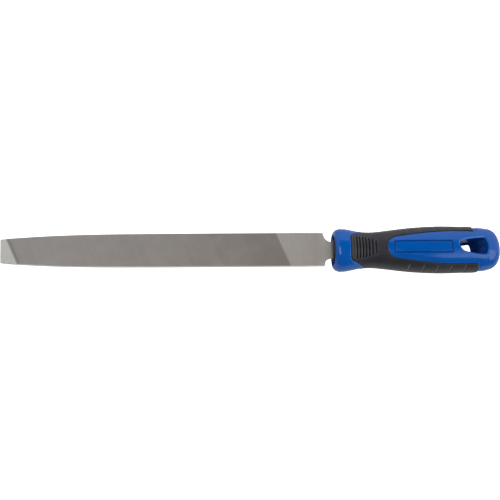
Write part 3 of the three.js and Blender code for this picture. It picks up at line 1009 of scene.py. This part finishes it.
def rim_chains(P, T):
    """The face's outline cut at its four corners: vertex ids from tip to end, or from -Y to +Y."""
    nxt = {int(a): int(b) for a, b in boundary_edges(T)}
    start = next(iter(nxt))
    loop, at = [start], nxt[start]
    while at != start and len(loop) <= len(nxt):
        loop.append(at)
        at = nxt[at]
    if len(loop) != len(nxt):
        print("blade face: outline of", len(nxt), "edges, longest loop", len(loop))
    loop = np.array(loop)
    q = P[loop, :2]
    lo, hi = q[:, 1].min(), q[:, 1].max()

    def corner(x, y):
        return int(np.argmin(np.hypot(q[:, 0] - x, q[:, 1] - y)))

    y_t = {k: k * float(blade_edge(tip_x(k * 9.2), k) - CH) for k in (1, -1)}
    y_e = {k: k * float(blade_edge(TANG_END, k) - CH) for k in (1, -1)}
    c = {
        "tu": corner(tip_x(y_t[1], CH), y_t[1]),
        "td": corner(tip_x(y_t[-1], CH), y_t[-1]),
        "eu": corner(TANG_END, y_e[1]),
        "ed": corner(TANG_END, y_e[-1]),
    }
    n = len(loop)

    def path(i, j):
        others = [v for v in c.values() if v not in (i, j)]
        fwd = (i + np.arange((j - i) % n + 1)) % n
        if any(v in fwd for v in others):
            fwd = (i - np.arange((i - j) % n + 1)) % n
        return loop[fwd]

    return {"up": path(c["tu"], c["eu"]), "down": path(c["td"], c["ed"]), "tip": path(c["td"], c["tu"]), "end": path(c["ed"], c["eu"])}


def zipper(A, B, coord, flip):
    """Triangles between two rows of vertex ids, both sorted by the same coordinate."""
    tri = []
    i = j = 0
    ca, cb = coord[A], coord[B]
    while i < len(A) - 1 or j < len(B) - 1:
        if j == len(B) - 1 or (i < len(A) - 1 and ca[i + 1] <= cb[j + 1]):
            tri.append((A[i], A[i + 1], B[j]))
            i += 1
        else:
            tri.append((A[i], B[j + 1], B[j]))
            j += 1
    tri = np.array(tri)
    return tri[:, ::-1] if flip else tri


def build_blade():
    top, Tt, mt, zt, rt = blade_face(1)
    bot, Tb, mb, zb, rb = blade_face(-1)
    V = [top, bot]
    n_top = len(top)
    zone, cav_shade = [zt, zb], [rt, rb]
    edge = [np.zeros(len(top)), np.zeros(len(bot))]
    T = [Tt, Tb + n_top]
    count = n_top + len(bot)
    # rows of stations for the narrow edges
    pe = 0.7
    k = np.arange(0, int((U_HEEL - 4 + 186) / pe))
    edge_u = np.sort(np.r_[-186 + k * pe, -186 + (k + 0.7) * pe])
    rows_z = np.array([1.0, 0.66, 0.33, 0.0, -0.33, -0.66, -1.0])
    sides = {}
    for side in (1, -1):
        xc = tip_x(side * 9.3)
        xs = np.r_[
            xc,
            edge_u[edge_u > xc + 1.0],
            np.arange(edge_u[-1] + 1.5, SHOULDER_X - 1.0, 2.0),
            SHOULDER_FROM[side] + (SHOULDER_TO[side] - SHOULDER_FROM[side]) * (1 - np.cos(np.linspace(0, math.pi / 2, 20))),
            np.arange(66, 74, 1.0),
            np.arange(76, TANG_END, 4.0),
            TANG_END,
        ]
        xs = np.unique(np.round(xs, 5))
        rel = np.zeros(len(xs))
        f = np.mod((xs + 186) / pe + 1e-6, 1.0)
        in_cut = (xs > -185.9) & (xs < edge_u[-1] + 0.01)
        rel[in_cut] = 0.08 * np.where(f[in_cut] < 0.7, f[in_cut] / 0.7, 1 - (f[in_cut] - 0.7) / 0.3)
        w = blade_edge(xs, side)
        th = blade_half_thick(xs) - CH
        grid = []
        for q in rows_z:
            r = rel * (1.0 if abs(q) < 0.99 else 0.6)
            grid.append(np.c_[xs, side * (w - r), th * q])
        ids = count + np.arange(len(rows_z) * len(xs)).reshape(len(rows_z), len(xs))
        count += ids.size
        V += grid
        zone.append(np.tile(in_cut.astype(float), len(rows_z)))
        edge.append(np.ones(len(rows_z) * len(xs)) * np.tile(smooth(75.0, 66.0, xs), len(rows_z)))
        # painted shade for the teeth's valleys along the side walls
        cav_shade.append(np.tile(rel, len(rows_z)))
        a, b, c, d = ids[:-1, :-1].ravel(), ids[:-1, 1:].ravel(), ids[1:, :-1].ravel(), ids[1:, 1:].ravel()
        quad = np.vstack([np.c_[a, b, d], np.c_[a, d, c]])
        T.append(quad if side > 0 else quad[:, ::-1])
        sides[side] = ids
    # end walls: the tip's face and the hidden end of the tang
    ends = {}
    for which, x_of in (("tip", tip_x), ("end", None)):
        up = sides[1][:, 0 if which == "tip" else -1]
        dn = sides[-1][:, 0 if which == "tip" else -1]
        allv = np.vstack(V)
        m = 24 if which == "tip" else 4
        cols = [dn]
        for q in range(1, m):
            u = q / m
            p = allv[dn] * (1 - u) + allv[up] * u
            ids = count + np.arange(len(rows_z))
            count += len(rows_z)
            V.append(p)
            zone.append(np.zeros(len(rows_z)))
            edge.append(np.full(len(rows_z), 0.25 if which == "tip" else 0.0))
            cav_shade.append(np.zeros(len(rows_z)))
            cols.append(ids)
        cols.append(up)
        ids = np.array(cols).T  # rows z, columns y
        a, b, c, d = ids[:-1, :-1].ravel(), ids[:-1, 1:].ravel(), ids[1:, :-1].ravel(), ids[1:, 1:].ravel()
        quad = np.vstack([np.c_[a, b, d], np.c_[a, d, c]])
        T.append(quad if which == "tip" else quad[:, ::-1])
        ends[which] = ids
    V = np.vstack(V)
    X, Y = V[:, 0], V[:, 1]
    # bevels between each face and the walls
    for face, marks, off, row in ((1, mt, 0, 0), (-1, mb, n_top, -1)):
        for key, other, coord, flip in (
            ("up", sides[1][row], X, False),
            ("down", sides[-1][row], X, True),
            ("tip", ends["tip"][row], Y, False),
            ("end", ends["end"][row], Y, True),
        ):
            tri = zipper(marks[key] + off, other, coord, flip)
            T.append(tri[:, ::-1] if face > 0 else tri)
    T = np.vstack(T)
    V[:, 1] += BLADE_Y
    # the two rims of every bevel and the upright corners, for sharp edges
    rim, corner = np.zeros(len(V)), np.zeros(len(V))
    for marks, off in ((mt, 0), (mb, n_top)):
        for ids in marks.values():
            rim[np.asarray(ids) + off] = 1.0
    for ids in (*sides.values(), *ends.values()):
        rim[ids[[0, -1]].ravel()] = 2.0
    for ids in sides.values():
        corner[ids[:, [0, -1]].ravel()] = 1.0
    at = {"zone": zone, "cavity_shade": cav_shade, "edge": edge}
    return V, T, {**{key: np.concatenate(v) for key, v in at.items()}, "rim": rim, "corner": corner}


# ------------------------------------------------------------------ tang sleeve
def build_sleeve():
    m = 120
    phi = np.linspace(0, 2 * math.pi, m, endpoint=False)
    c, s = np.cos(phi), np.sin(phi)
    ring, r1 = float(sleeve_hi[1]), 7.7

    def circle(x, r):
        return np.c_[np.full(m, x), r * c, r * s]

    def slot_ring(x, grow=0.0):
        hw = float(np.interp(x, [63, 64, 70, 100, 122, 131], [6.55, 6.48, 5.95, 4.4, 3.35, 1.9])) + grow
        hh = float(np.interp(x, [63, 64, 70, 100, 122, 131], [3.3, 3.3, 3.25, 2.9, 2.5, 1.8])) + grow
        with np.errstate(divide="ignore"):
            r = np.minimum(hw / np.maximum(np.abs(c), 1e-9), hh / np.maximum(np.abs(s), 1e-9))
        return np.c_[np.full(m, x), r * c + TANG_Y, r * s]

    xa, xb = float(sleeve_lo[0]), float(sleeve_hi[0])
    x_ring = X0 + 1.0
    rings = [
        slot_ring(131.0),
        slot_ring(122.0),
        slot_ring(100.0),
        slot_ring(70.0),
        slot_ring(xa + 0.25),
        slot_ring(xa + 0.06, 0.07),
        slot_ring(xa, 0.25),
    ]
    inner = rings[-1]
    for k in (0.35, 0.7):
        rings.append(inner * (1 - k) + circle(xa, ring - 0.45) * k)
    rings += [
        circle(xa, ring - 0.45),
        circle(xa + 0.07, ring - 0.2),
        circle(xa + 0.22, ring - 0.05),
        circle(xa + 0.45, ring),
        circle(x_ring - 0.1, ring),
        circle(x_ring, ring - 0.1),
        circle(x_ring, r1),
        circle(xa + 30, r1),
        circle(xb - 1.5, r1),
        circle(xb - 0.4, r1 - 0.7),
        circle(xb, r1 - 1.5),
        circle(xb, 0.02),
    ]
    V = np.vstack(rings)
    T = []
    j = np.arange(m)
    k2 = (j + 1) % m
    for i in range(len(rings) - 1):
        a, b, cc, d = i * m + j, i * m + k2, (i + 1) * m + j, (i + 1) * m + k2
        T += [np.c_[a, b, d], np.c_[a, d, cc]]
    # close the slot's blind end and the back
    V = np.vstack([V, [[131.0, TANG_Y, 0]], [[xb, 0, 0]]])
    n = len(V)
    T.append(np.c_[k2, j, np.full(m, n - 2)])
    last = (len(rings) - 1) * m
    T.append(np.c_[last + j, last + k2, np.full(m, n - 1)])
    T = np.vstack(T)
    # facing: the outer wall's normals must point away from the axis; add_piece turns the whole mesh by its volume, and
    # the triangle picked here is not used
    w = (len(rings) - 6) * m
    tri = T[(T >= w).all(1)][:1]
    return V, T


def outward(V, T):
    """Turns the whole mesh if its volume is negative."""
    a, b, c = V[T[:, 0]], V[T[:, 1]], V[T[:, 2]]
    vol = np.einsum("ij,ij->i", a, np.cross(b, c)).sum() / 6
    return (T if vol > 0 else T[:, ::-1]), vol


# ------------------------------------------------------------------ node helpers
class Mat:
    """A small wrapper for building node materials."""

    def __init__(self, name):
        self.m = bpy.data.materials.new(name)
        self.m.use_nodes = True
        self.nt = self.m.node_tree
        self.nt.nodes.clear()
        self.out = self.nt.nodes.new("ShaderNodeOutputMaterial")
        self.bsdf = self.nt.nodes.new("ShaderNodeBsdfPrincipled")
        self.nt.links.new(self.bsdf.outputs[0], self.out.inputs[0])
        self.coord = self.nt.nodes.new("ShaderNodeTexCoord")

    def node(self, kind, **kw):
        n = self.nt.nodes.new(kind)
        for k, v in kw.items():
            setattr(n, k, v)
        return n

    def link(self, a, b):
        self.nt.links.new(a, b)

    def set(self, socket, v):
        if hasattr(v, "links") or isinstance(v, bpy.types.NodeSocket):
            self.link(v, socket)
        else:
            socket.default_value = v

    def mapping(self, scale=(1, 1, 1), rot=(0, 0, 0), source=None):
        n = self.node("ShaderNodeMapping")
        n.inputs["Scale"].default_value = scale
        n.inputs["Rotation"].default_value = rot
        self.link(source or self.coord.outputs["Object"], n.inputs["Vector"])
        return n.outputs[0]

    def noise(self, scale, detail=3, rough=0.5, vec=None, dist=0.0):
        n = self.node("ShaderNodeTexNoise")
        n.inputs["Scale"].default_value = scale
        n.inputs["Detail"].default_value = detail
        n.inputs["Roughness"].default_value = rough
        n.inputs["Distortion"].default_value = dist
        self.link(vec or self.coord.outputs["Object"], n.inputs["Vector"])
        return n.outputs["Fac"]

    def voronoi(self, scale, vec=None, feature="F1"):
        n = self.node("ShaderNodeTexVoronoi")
        n.feature = feature
        n.inputs["Scale"].default_value = scale
        self.link(vec or self.coord.outputs["Object"], n.inputs["Vector"])
        return n.outputs["Distance"]

    def math(self, op, a, b=0.0, c=None, clamp=False):
        n = self.node("ShaderNodeMath")
        n.operation = op
        n.use_clamp = clamp
        self.set(n.inputs[0], a)
        self.set(n.inputs[1], b)
        if c is not None:
            self.set(n.inputs[2], c)
        return n.outputs[0]

    def remap(self, v, a, b, c, d, mode="LINEAR"):
        n = self.node("ShaderNodeMapRange")
        n.interpolation_type = mode
        self.link(v, n.inputs["Value"])
        n.inputs["From Min"].default_value = a
        n.inputs["From Max"].default_value = b
        self.set(n.inputs["To Min"], c)
        self.set(n.inputs["To Max"], d)
        return n.outputs["Result"]

    def mix(self, fac, a, b, blend="MIX"):
        n = self.node("ShaderNodeMix")
        n.data_type = "RGBA"
        n.blend_type = blend
        self.set(n.inputs[0], fac)
        for s_, v in ((n.inputs[6], a), (n.inputs[7], b)):
            if isinstance(v, (tuple, list)):
                s_.default_value = (*v, 1.0) if len(v) == 3 else v
            else:
                self.link(v, s_)
        return n.outputs[2]

    def bump(self, height, strength, distance, normal=None):
        n = self.node("ShaderNodeBump")
        n.inputs["Strength"].default_value = strength
        n.inputs["Distance"].default_value = distance
        self.link(height, n.inputs["Height"])
        if normal is not None:
            self.link(normal, n.inputs["Normal"])
        return n.outputs["Normal"]

    def attr(self, name):
        n = self.node("ShaderNodeAttribute")
        n.attribute_name = name
        return n.outputs["Fac"]

    def pointiness(self):
        return self.node("ShaderNodeNewGeometry").outputs["Pointiness"]

    def xyz(self):
        n = self.node("ShaderNodeSeparateXYZ")
        self.link(self.coord.outputs["Object"], n.inputs[0])
        return n.outputs


# tip and heel colours of the ground and cut steel; the step from A to B is painted light, see the fade below
GROUND_A, GROUND_B = (236, 235, 232), (207, 201, 196)
CUT_A, CUT_B = (213, 208, 205), (165, 158, 152)


def srgb(r, g, b):
    out = []
    for v in (r, g, b):
        v = v / 255
        out.append(v / 12.92 if v <= 0.04045 else ((v + 0.055) / 1.055) ** 2.4)
    return tuple(out)


# ------------------------------------------------------------------ materials
def steel_material():
    m = Mat("file_steel")
    zone, cav_shade, edge = m.attr("zone"), m.attr("cavity_shade"), m.attr("edge")
    x = m.xyz()[0]
    # ground zones: fine scratches across the blade; cut zones: darker, browner, blotchy
    cross = m.noise(1.0, 3, 0.6, m.mapping((2600, 160, 300)))
    blot = m.noise(26, 5, 0.62)
    blot2 = m.noise(110, 4, 0.6)
    # painted light: far fades the steel from lighter at the tip to darker towards the handle, standing in for the
    # brighter light over the tip
    far = m.remap(x, -0.19, 0.06, 0.0, 1.0)
    ground = m.mix(far, srgb(*GROUND_A), srgb(*GROUND_B))
    ground = m.mix(m.remap(cross, 0.4, 0.7, 0.0, 0.16), ground, srgb(150, 147, 143))
    ground = m.mix(m.remap(blot, 0.5, 0.75, 0.0, 0.12), ground, srgb(168, 160, 150))
    cut = m.mix(far, srgb(*CUT_A), srgb(*CUT_B))
    cut = m.mix(m.remap(blot, 0.4, 0.72, 0.0, 0.12), cut, srgb(150, 143, 134))
    cut = m.mix(m.remap(blot2, 0.5, 0.75, 0.0, 0.10), cut, srgb(206, 202, 196))
    # painted shade: the cut steel darkens where the teeth are deepest and over the first cuts
    cut = m.mix(m.remap(cav_shade, 0.03, 0.2, 0.0, 0.3), cut, srgb(110, 104, 98))
    cut = m.mix(m.remap(cav_shade, 0.2, 0.4, 0.0, 0.6), cut, srgb(96, 91, 86))
    col = m.mix(zone, ground, cut)
    # painted light: the neck is lightened towards the collar to cancel the collar's shadow on it
    col = m.mix(m.remap(x, 0.052, 0.062, 0.0, 1.0), col, srgb(236, 231, 226))
    # painted shade: the tang darkens where it enters the collar's mouth
    col = m.mix(m.remap(x, 0.0622, 0.0654, 0.0, 0.8), col, srgb(84, 78, 75))
    col = m.mix(m.math("MULTIPLY", edge, 0.9), col, srgb(250, 248, 244))
    m.link(col, m.bsdf.inputs["Base Color"])
    m.bsdf.inputs["Metallic"].default_value = 1.0
    fine = m.noise(1.0, 4, 0.6, m.mapping((900, 90, 900)))
    r_ground = m.remap(fine, 0.3, 0.7, 0.6, 0.7)
    r_cut = m.remap(blot2, 0.3, 0.7, 0.56, 0.66)
    r = m.math("ADD", m.math("MULTIPLY", zone, r_cut), m.math("MULTIPLY", m.math("SUBTRACT", 1.0, zone), r_ground))
    m.link(r, m.bsdf.inputs["Roughness"])
    n1 = m.bump(cross, 0.2, 0.00004)
    n2 = m.bump(blot2, 0.2, 0.00006, n1)
    m.link(n2, m.bsdf.inputs["Normal"])
    return m.m


def blue_material():
    m = Mat("blue_plastic")
    big = m.noise(38, 4, 0.55)
    small = m.noise(900, 3, 0.6)
    flow = m.noise(1.0, 3, 0.5, m.mapping((60, 420, 420)))
    base = m.mix(m.remap(big, 0.35, 0.65, 0.0, 1.0), srgb(0, 86, 176), srgb(1, 93, 184))
    base = m.mix(m.remap(flow, 0.45, 0.7, 0.0, 0.2), base, srgb(4, 98, 190))
    base = m.mix(m.remap(small, 0.62, 0.8, 0.0, 0.16), base, srgb(0, 66, 150))
    # painted highlight: light blue along the rims and seam edges, broken up by noise; it also roughens those spots
    highlight_fac = m.math("MULTIPLY", m.attr("painted_highlight"), m.remap(m.noise(240, 4, 0.6), 0.36, 0.6, 0.3, 0.8))
    base = m.mix(highlight_fac, base, srgb(96, 150, 216))
    # painted shade in the panel's outline and in the gap under the grip
    base = m.mix(m.attr("groove_shade"), base, srgb(24, 30, 88))
    # painted shade on the hole's wall and the bore
    base = m.mix(m.math("MULTIPLY", m.attr("inside"), 0.6), base, srgb(8, 22, 96))
    x, y, z = m.xyz()
    # painted shade: a dark ring at the collar's mouth where the tang goes in
    mouth = m.math("MULTIPLY", m.remap(x, 0.0656, 0.0653, 0.0, 0.6), m.remap(m.math("ABSOLUTE", y), 0.0092, 0.0084, 0.0, 1.0))
    base = m.mix(mouth, base, srgb(10, 16, 44))
    m.link(base, m.bsdf.inputs["Base Color"])
    r = m.remap(m.noise(150, 5, 0.6), 0.3, 0.7, 0.11, 0.19)
    r = m.math("ADD", r, m.math("MULTIPLY", highlight_fac, 0.15))
    r = m.math("ADD", r, m.math("MULTIPLY", m.attr("inside"), 0.25))
    r = m.math("ADD", r, m.math("MULTIPLY", mouth, 0.3))
    m.link(r, m.bsdf.inputs["Roughness"])
    m.bsdf.inputs["IOR"].default_value = 1.46
    m.link(m.math("SUBTRACT", 0.5, m.math("MULTIPLY", m.attr("inside"), 0.5)), m.bsdf.inputs["Specular IOR Level"])
    n1 = m.bump(m.voronoi(1500), 0.05, 0.00002)
    n2 = m.bump(m.noise(170, 3, 0.5), 0.05, 0.0001, n1)
    m.link(n2, m.bsdf.inputs["Normal"])
    return m.m


def grip_material():
    m = Mat("dark_elastomer")
    big = m.noise(45, 4, 0.55)
    dust = m.noise(700, 5, 0.7)
    grain = m.voronoi(3000)
    base = m.mix(m.remap(big, 0.35, 0.65, 0.0, 1.0), srgb(39, 39, 46), srgb(49, 49, 56))
    base = m.mix(m.remap(dust, 0.6, 0.8, 0.0, 0.3), base, srgb(84, 84, 90))
    # painted highlight: light grey on rib ends and groove walls, broken up by noise
    highlight_fac = m.math("MULTIPLY", m.attr("painted_highlight"), m.remap(m.noise(260, 4, 0.6), 0.36, 0.6, 0.6, 1.0))
    base = m.mix(highlight_fac, base, srgb(134, 134, 140))
    # painted shade and dirt: darker where the surface is concave
    crease_shade_and_dirt = m.remap(m.pointiness(), 0.488, 0.44, 0.0, 0.6)
    base = m.mix(crease_shade_and_dirt, base, srgb(22, 22, 23))
    # painted shade and dirt in the rib grooves
    base = m.mix(m.attr("groove_shade"), base, srgb(14, 14, 16))
    m.link(base, m.bsdf.inputs["Base Color"])
    r = m.remap(m.noise(210, 5, 0.6), 0.3, 0.7, 0.4, 0.52)
    m.link(r, m.bsdf.inputs["Roughness"])
    m.bsdf.inputs["IOR"].default_value = 1.5
    m.bsdf.inputs["Sheen Weight"].default_value = 0.08
    m.bsdf.inputs["Sheen Roughness"].default_value = 0.4
    n1 = m.bump(grain, 0.3, 0.00005)
    n2 = m.bump(m.noise(240, 3, 0.5), 0.12, 0.0001, n1)
    m.link(n2, m.bsdf.inputs["Normal"])
    return m.m


def sleeve_material():
    m = Mat("black_plastic")
    big = m.noise(120, 4, 0.55)
    base = m.mix(m.remap(big, 0.35, 0.65, 0.0, 1.0), srgb(34, 33, 33), srgb(48, 46, 45))
    base = m.mix(m.remap(m.noise(900, 4, 0.7), 0.6, 0.8, 0.0, 0.4), base, srgb(80, 78, 75))
    m.link(base, m.bsdf.inputs["Base Color"])
    m.link(m.remap(m.noise(300, 4, 0.6), 0.3, 0.7, 0.42, 0.6), m.bsdf.inputs["Roughness"])
    m.link(m.bump(m.voronoi(2400), 0.25, 0.00005), m.bsdf.inputs["Normal"])
    return m.m


# ------------------------------------------------------------------ pieces
def crease(obj):
    """Marks the edges along a rim or a corner as sharp, so the flats beside them stay flat."""
    mesh = obj.data
    e = np.empty(len(mesh.edges) * 2, np.int32)
    mesh.edges.foreach_get("vertices", e)
    e = e.reshape(-1, 2)
    hard = np.zeros(len(e), bool)
    for key, level in (("rim", 1), ("rim", 2), ("corner", 1)):
        v = np.zeros(len(mesh.vertices), np.float32)
        mesh.attributes[key].data.foreach_get("value", v)
        hard |= (np.abs(v[e] - level) < 0.25).all(1)
    mesh.edges.foreach_set("use_edge_sharp", hard)
    mesh.update()


def add_piece(name, V, T, mat, node, sharp, attrs=None):
    T, vol = outward(V, T)
    obj = make_object(name, V, T, sharp, attrs)
    obj.data.materials.append(mat)
    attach(obj, "root")
    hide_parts(node)
    e = np.empty(len(obj.data.edges) * 2, np.int32)
    obj.data.edges.foreach_get("vertices", e)
    pl = np.empty(len(obj.data.loops), np.int32)
    obj.data.loops.foreach_get("edge_index", pl)
    uses = np.bincount(pl, minlength=len(obj.data.edges))
    print(f"{name}: {len(obj.data.polygons)} faces, volume {vol:.0f} mm3, edges not used twice {(uses != 2).sum()}")
    return obj


V, T, at = build_blade()
blade = add_piece("blade", V, T, steel_material(), "file_blade", None, at)
crease(blade)
V, T, at = build_core()
core = add_piece("core", V, T, blue_material(), "handle_core", 38, at)
V, T, at = build_grip()
grip = add_piece("grip", V, T, grip_material(), "soft_grip", 50, at)
V, T = build_sleeve()
sleeve = add_piece("sleeve", V, T, sleeve_material(), "tang_socket", 35)


# ------------------------------------------------------------------ stage
def floor_object():
    """A large pale table just under the handle. Its back is clear, so nothing is hidden from below."""
    size, z = 5.0, float(core_lo[2]) * MM - 0.0004
    n = 24
    mesh = bpy.data.meshes.new("floor")
    g = np.linspace(-size, size, n)
    verts = [(a, b, z) for a in g for b in g]
    faces = [(i * n + j, (i + 1) * n + j, (i + 1) * n + j + 1, i * n + j + 1) for i in range(n - 1) for j in range(n - 1)]
    mesh.from_pydata(verts, [], faces)
    o = bpy.data.objects.new("floor", mesh)
    bpy.context.scene.collection.objects.link(o)
    m = Mat("floor_white")
    tone = m.noise(3, 2, 0.5)
    m.link(m.mix(m.remap(tone, 0.3, 0.7, 0.0, 1.0), (0.80, 0.80, 0.80), (0.83, 0.83, 0.83)), m.bsdf.inputs["Base Color"])
    m.bsdf.inputs["Roughness"].default_value = 0.9
    m.bsdf.inputs["Specular IOR Level"].default_value = 0.1
    # seen steeply from above it is a lit white table; seen at a low angle it shows its soft shadows
    geo = m.node("ShaderNodeNewGeometry")
    dot = m.node("ShaderNodeVectorMath", operation="DOT_PRODUCT")
    m.link(geo.outputs["Incoming"], dot.inputs[0])
    m.link(geo.outputs["Normal"], dot.inputs[1])
    steep = m.remap(m.math("ABSOLUTE", dot.outputs["Value"]), 0.5, 0.72, 0.42, 1.1, "SMOOTHSTEP")
    ray = m.node("ShaderNodeLightPath")
    em = m.node("ShaderNodeEmission")
    em.inputs["Color"].default_value = (1, 1, 1, 1)
    m.link(m.math("MULTIPLY", steep, ray.outputs["Is Camera Ray"]), em.inputs["Strength"])
    add = m.node("ShaderNodeAddShader")
    m.link(m.bsdf.outputs[0], add.inputs[0])
    m.link(em.outputs[0], add.inputs[1])
    clear = m.node("ShaderNodeBsdfTransparent")
    mix = m.node("ShaderNodeMixShader")
    m.link(geo.outputs["Backfacing"], mix.inputs[0])
    m.link(add.outputs[0], mix.inputs[1])
    m.link(clear.outputs[0], mix.inputs[2])
    m.link(mix.outputs[0], m.out.inputs[0])
    mesh.materials.append(m.m)
    return o


floor_object()


def area(name, azimuth, zenith, dist, size, radiance, glossy=True, target=(0.05, 0, 0), color=(1, 1, 1)):
    """A soft panel of the given radiance, placed by direction: azimuth from +X towards +Y, zenith angle from +Z, in degrees."""
    a, t = math.radians(azimuth), math.radians(zenith)
    loc = Vector(target) + dist * Vector((math.cos(a) * math.sin(t), math.sin(a) * math.sin(t), math.cos(t)))
    d = bpy.data.lights.new(name, "AREA")
    d.shape = "RECTANGLE"
    d.size, d.size_y = size
    d.energy = radiance * math.pi * size[0] * size[1]
    d.color = color
    o = bpy.data.objects.new(name, d)
    o.location = loc
    z_axis = (loc - Vector(target)).normalized()
    x_axis = Vector((0, 0, 1)).cross(z_axis).normalized() if t > 0.01 else Vector((1, 0, 0))
    y_axis = z_axis.cross(x_axis)
    o.matrix_world = Matrix(
        (
            (x_axis.x, y_axis.x, z_axis.x, loc.x),
            (x_axis.y, y_axis.y, z_axis.y, loc.y),
            (x_axis.z, y_axis.z, z_axis.z, loc.z),
            (0, 0, 0, 1),
        )
    )
    o.visible_glossy = glossy
    bpy.context.scene.collection.objects.link(o)
    return o


area("right_box", -15, 50, 1.2, (0.62, 0.95), 1.7)
area("left_strip", 186, 24, 1.2, (0.56, 0.27), 4.8)
area("overhead_fill", -90, 10, 1.3, (0.9, 0.7), 2.7, glossy=False)

world = bpy.data.worlds.new("studio")
bpy.context.scene.world = world
world.use_nodes = True
wt = world.node_tree
wt.nodes.clear()


def wmath(op, a, b=0.0, c=None):
    n = wt.nodes.new("ShaderNodeMath")
    n.operation = op
    for i, v in enumerate((a, b, c)):
        if v is None:
            continue
        if isinstance(v, bpy.types.NodeSocket):
            wt.links.new(v, n.inputs[i])
        else:
            n.inputs[i].default_value = v
    return n.outputs[0]


def wmap(v, a, b, c, d, mode="SMOOTHSTEP"):
    n = wt.nodes.new("ShaderNodeMapRange")
    n.interpolation_type = mode
    wt.links.new(v, n.inputs["Value"])
    for key, val in (("From Min", a), ("From Max", b), ("To Min", c), ("To Max", d)):
        n.inputs[key].default_value = val
    return n.outputs["Result"]


w_out = wt.nodes.new("ShaderNodeOutputWorld")
bg = wt.nodes.new("ShaderNodeBackground")
tc = wt.nodes.new("ShaderNodeTexCoord")
sep = wt.nodes.new("ShaderNodeSeparateXYZ")
wt.links.new(tc.outputs["Generated"], sep.inputs[0])
dx, dy, dz = sep.outputs
flat = wmath("SQRT", wmath("MAXIMUM", wmath("SUBTRACT", 1.0, wmath("MULTIPLY", dz, dz)), 1e-4))
side_y = wmath("DIVIDE", dy, flat)  # +1 on the +Y side
side_x = wmath("DIVIDE", dx, flat)
outer = wmap(dz, 0.84, 0.76, 0.0, 1.0)  # dark opening round the camera, walls beyond
wall = wmap(side_y, -0.9, 0.6, 0.10, 0.82)
wall = wmath("MULTIPLY", wall, wmap(side_x, -1.0, -0.6, 0.75, 1.0))
low = wmap(dz, 0.05, -0.2, 0.0, 1.0)
level = wmath("ADD", wmath("MULTIPLY", wall, wmath("SUBTRACT", 1.0, low)), wmath("MULTIPLY", low, 0.7))
level = wmath("MULTIPLY", level, outer)
level = wmath("ADD", level, 0.0)
lp = wt.nodes.new("ShaderNodeLightPath")
cam_ray = lp.outputs["Is Camera Ray"]
level = wmath("ADD", wmath("MULTIPLY", level, wmath("SUBTRACT", 1.0, cam_ray)), wmath("MULTIPLY", cam_ray, 1.0))
wt.links.new(level, bg.inputs["Strength"])
bg.inputs["Color"].default_value = (1, 1, 1, 1)
wt.links.new(bg.outputs[0], w_out.inputs[0])

sc = bpy.context.scene
sc.view_settings.view_transform = "Standard"
sc.view_settings.look = "None"
sc.view_settings.exposure = 0.0
sc.view_settings.gamma = 1.0

# ------------------------------------------------------------------ camera: close above the tool, leaning towards -Y
DIST, LEAN, ROLL = 0.380, math.radians(12.0), math.radians(0.34)
TARGET = Vector((0.00025, 0.00083, 0.0))
back = Vector((0, -math.sin(LEAN), math.cos(LEAN)))
up0 = Vector((0, math.cos(LEAN), math.sin(LEAN)))
right0 = Vector((1, 0, 0))
right = right0 * math.cos(ROLL) - up0 * math.sin(ROLL)
up = right0 * math.sin(ROLL) + up0 * math.cos(ROLL)
cam = bpy.data.cameras.new("camera")
cam.sensor_width = 36.0
cam.lens = 36.0 * DIST / (0.0007814 * 500)
cam.clip_start, cam.clip_end = 0.01, 50
co = bpy.data.objects.new("camera", cam)
co.matrix_world = Matrix(
    (
        (right.x, up.x, back.x, 0),
        (right.y, up.y, back.y, 0),
        (right.z, up.z, back.z, 0),
        (0, 0, 0, 1),
    )
)
co.location = TARGET + back * DIST
bpy.context.scene.collection.objects.link(co)
sc.camera = co
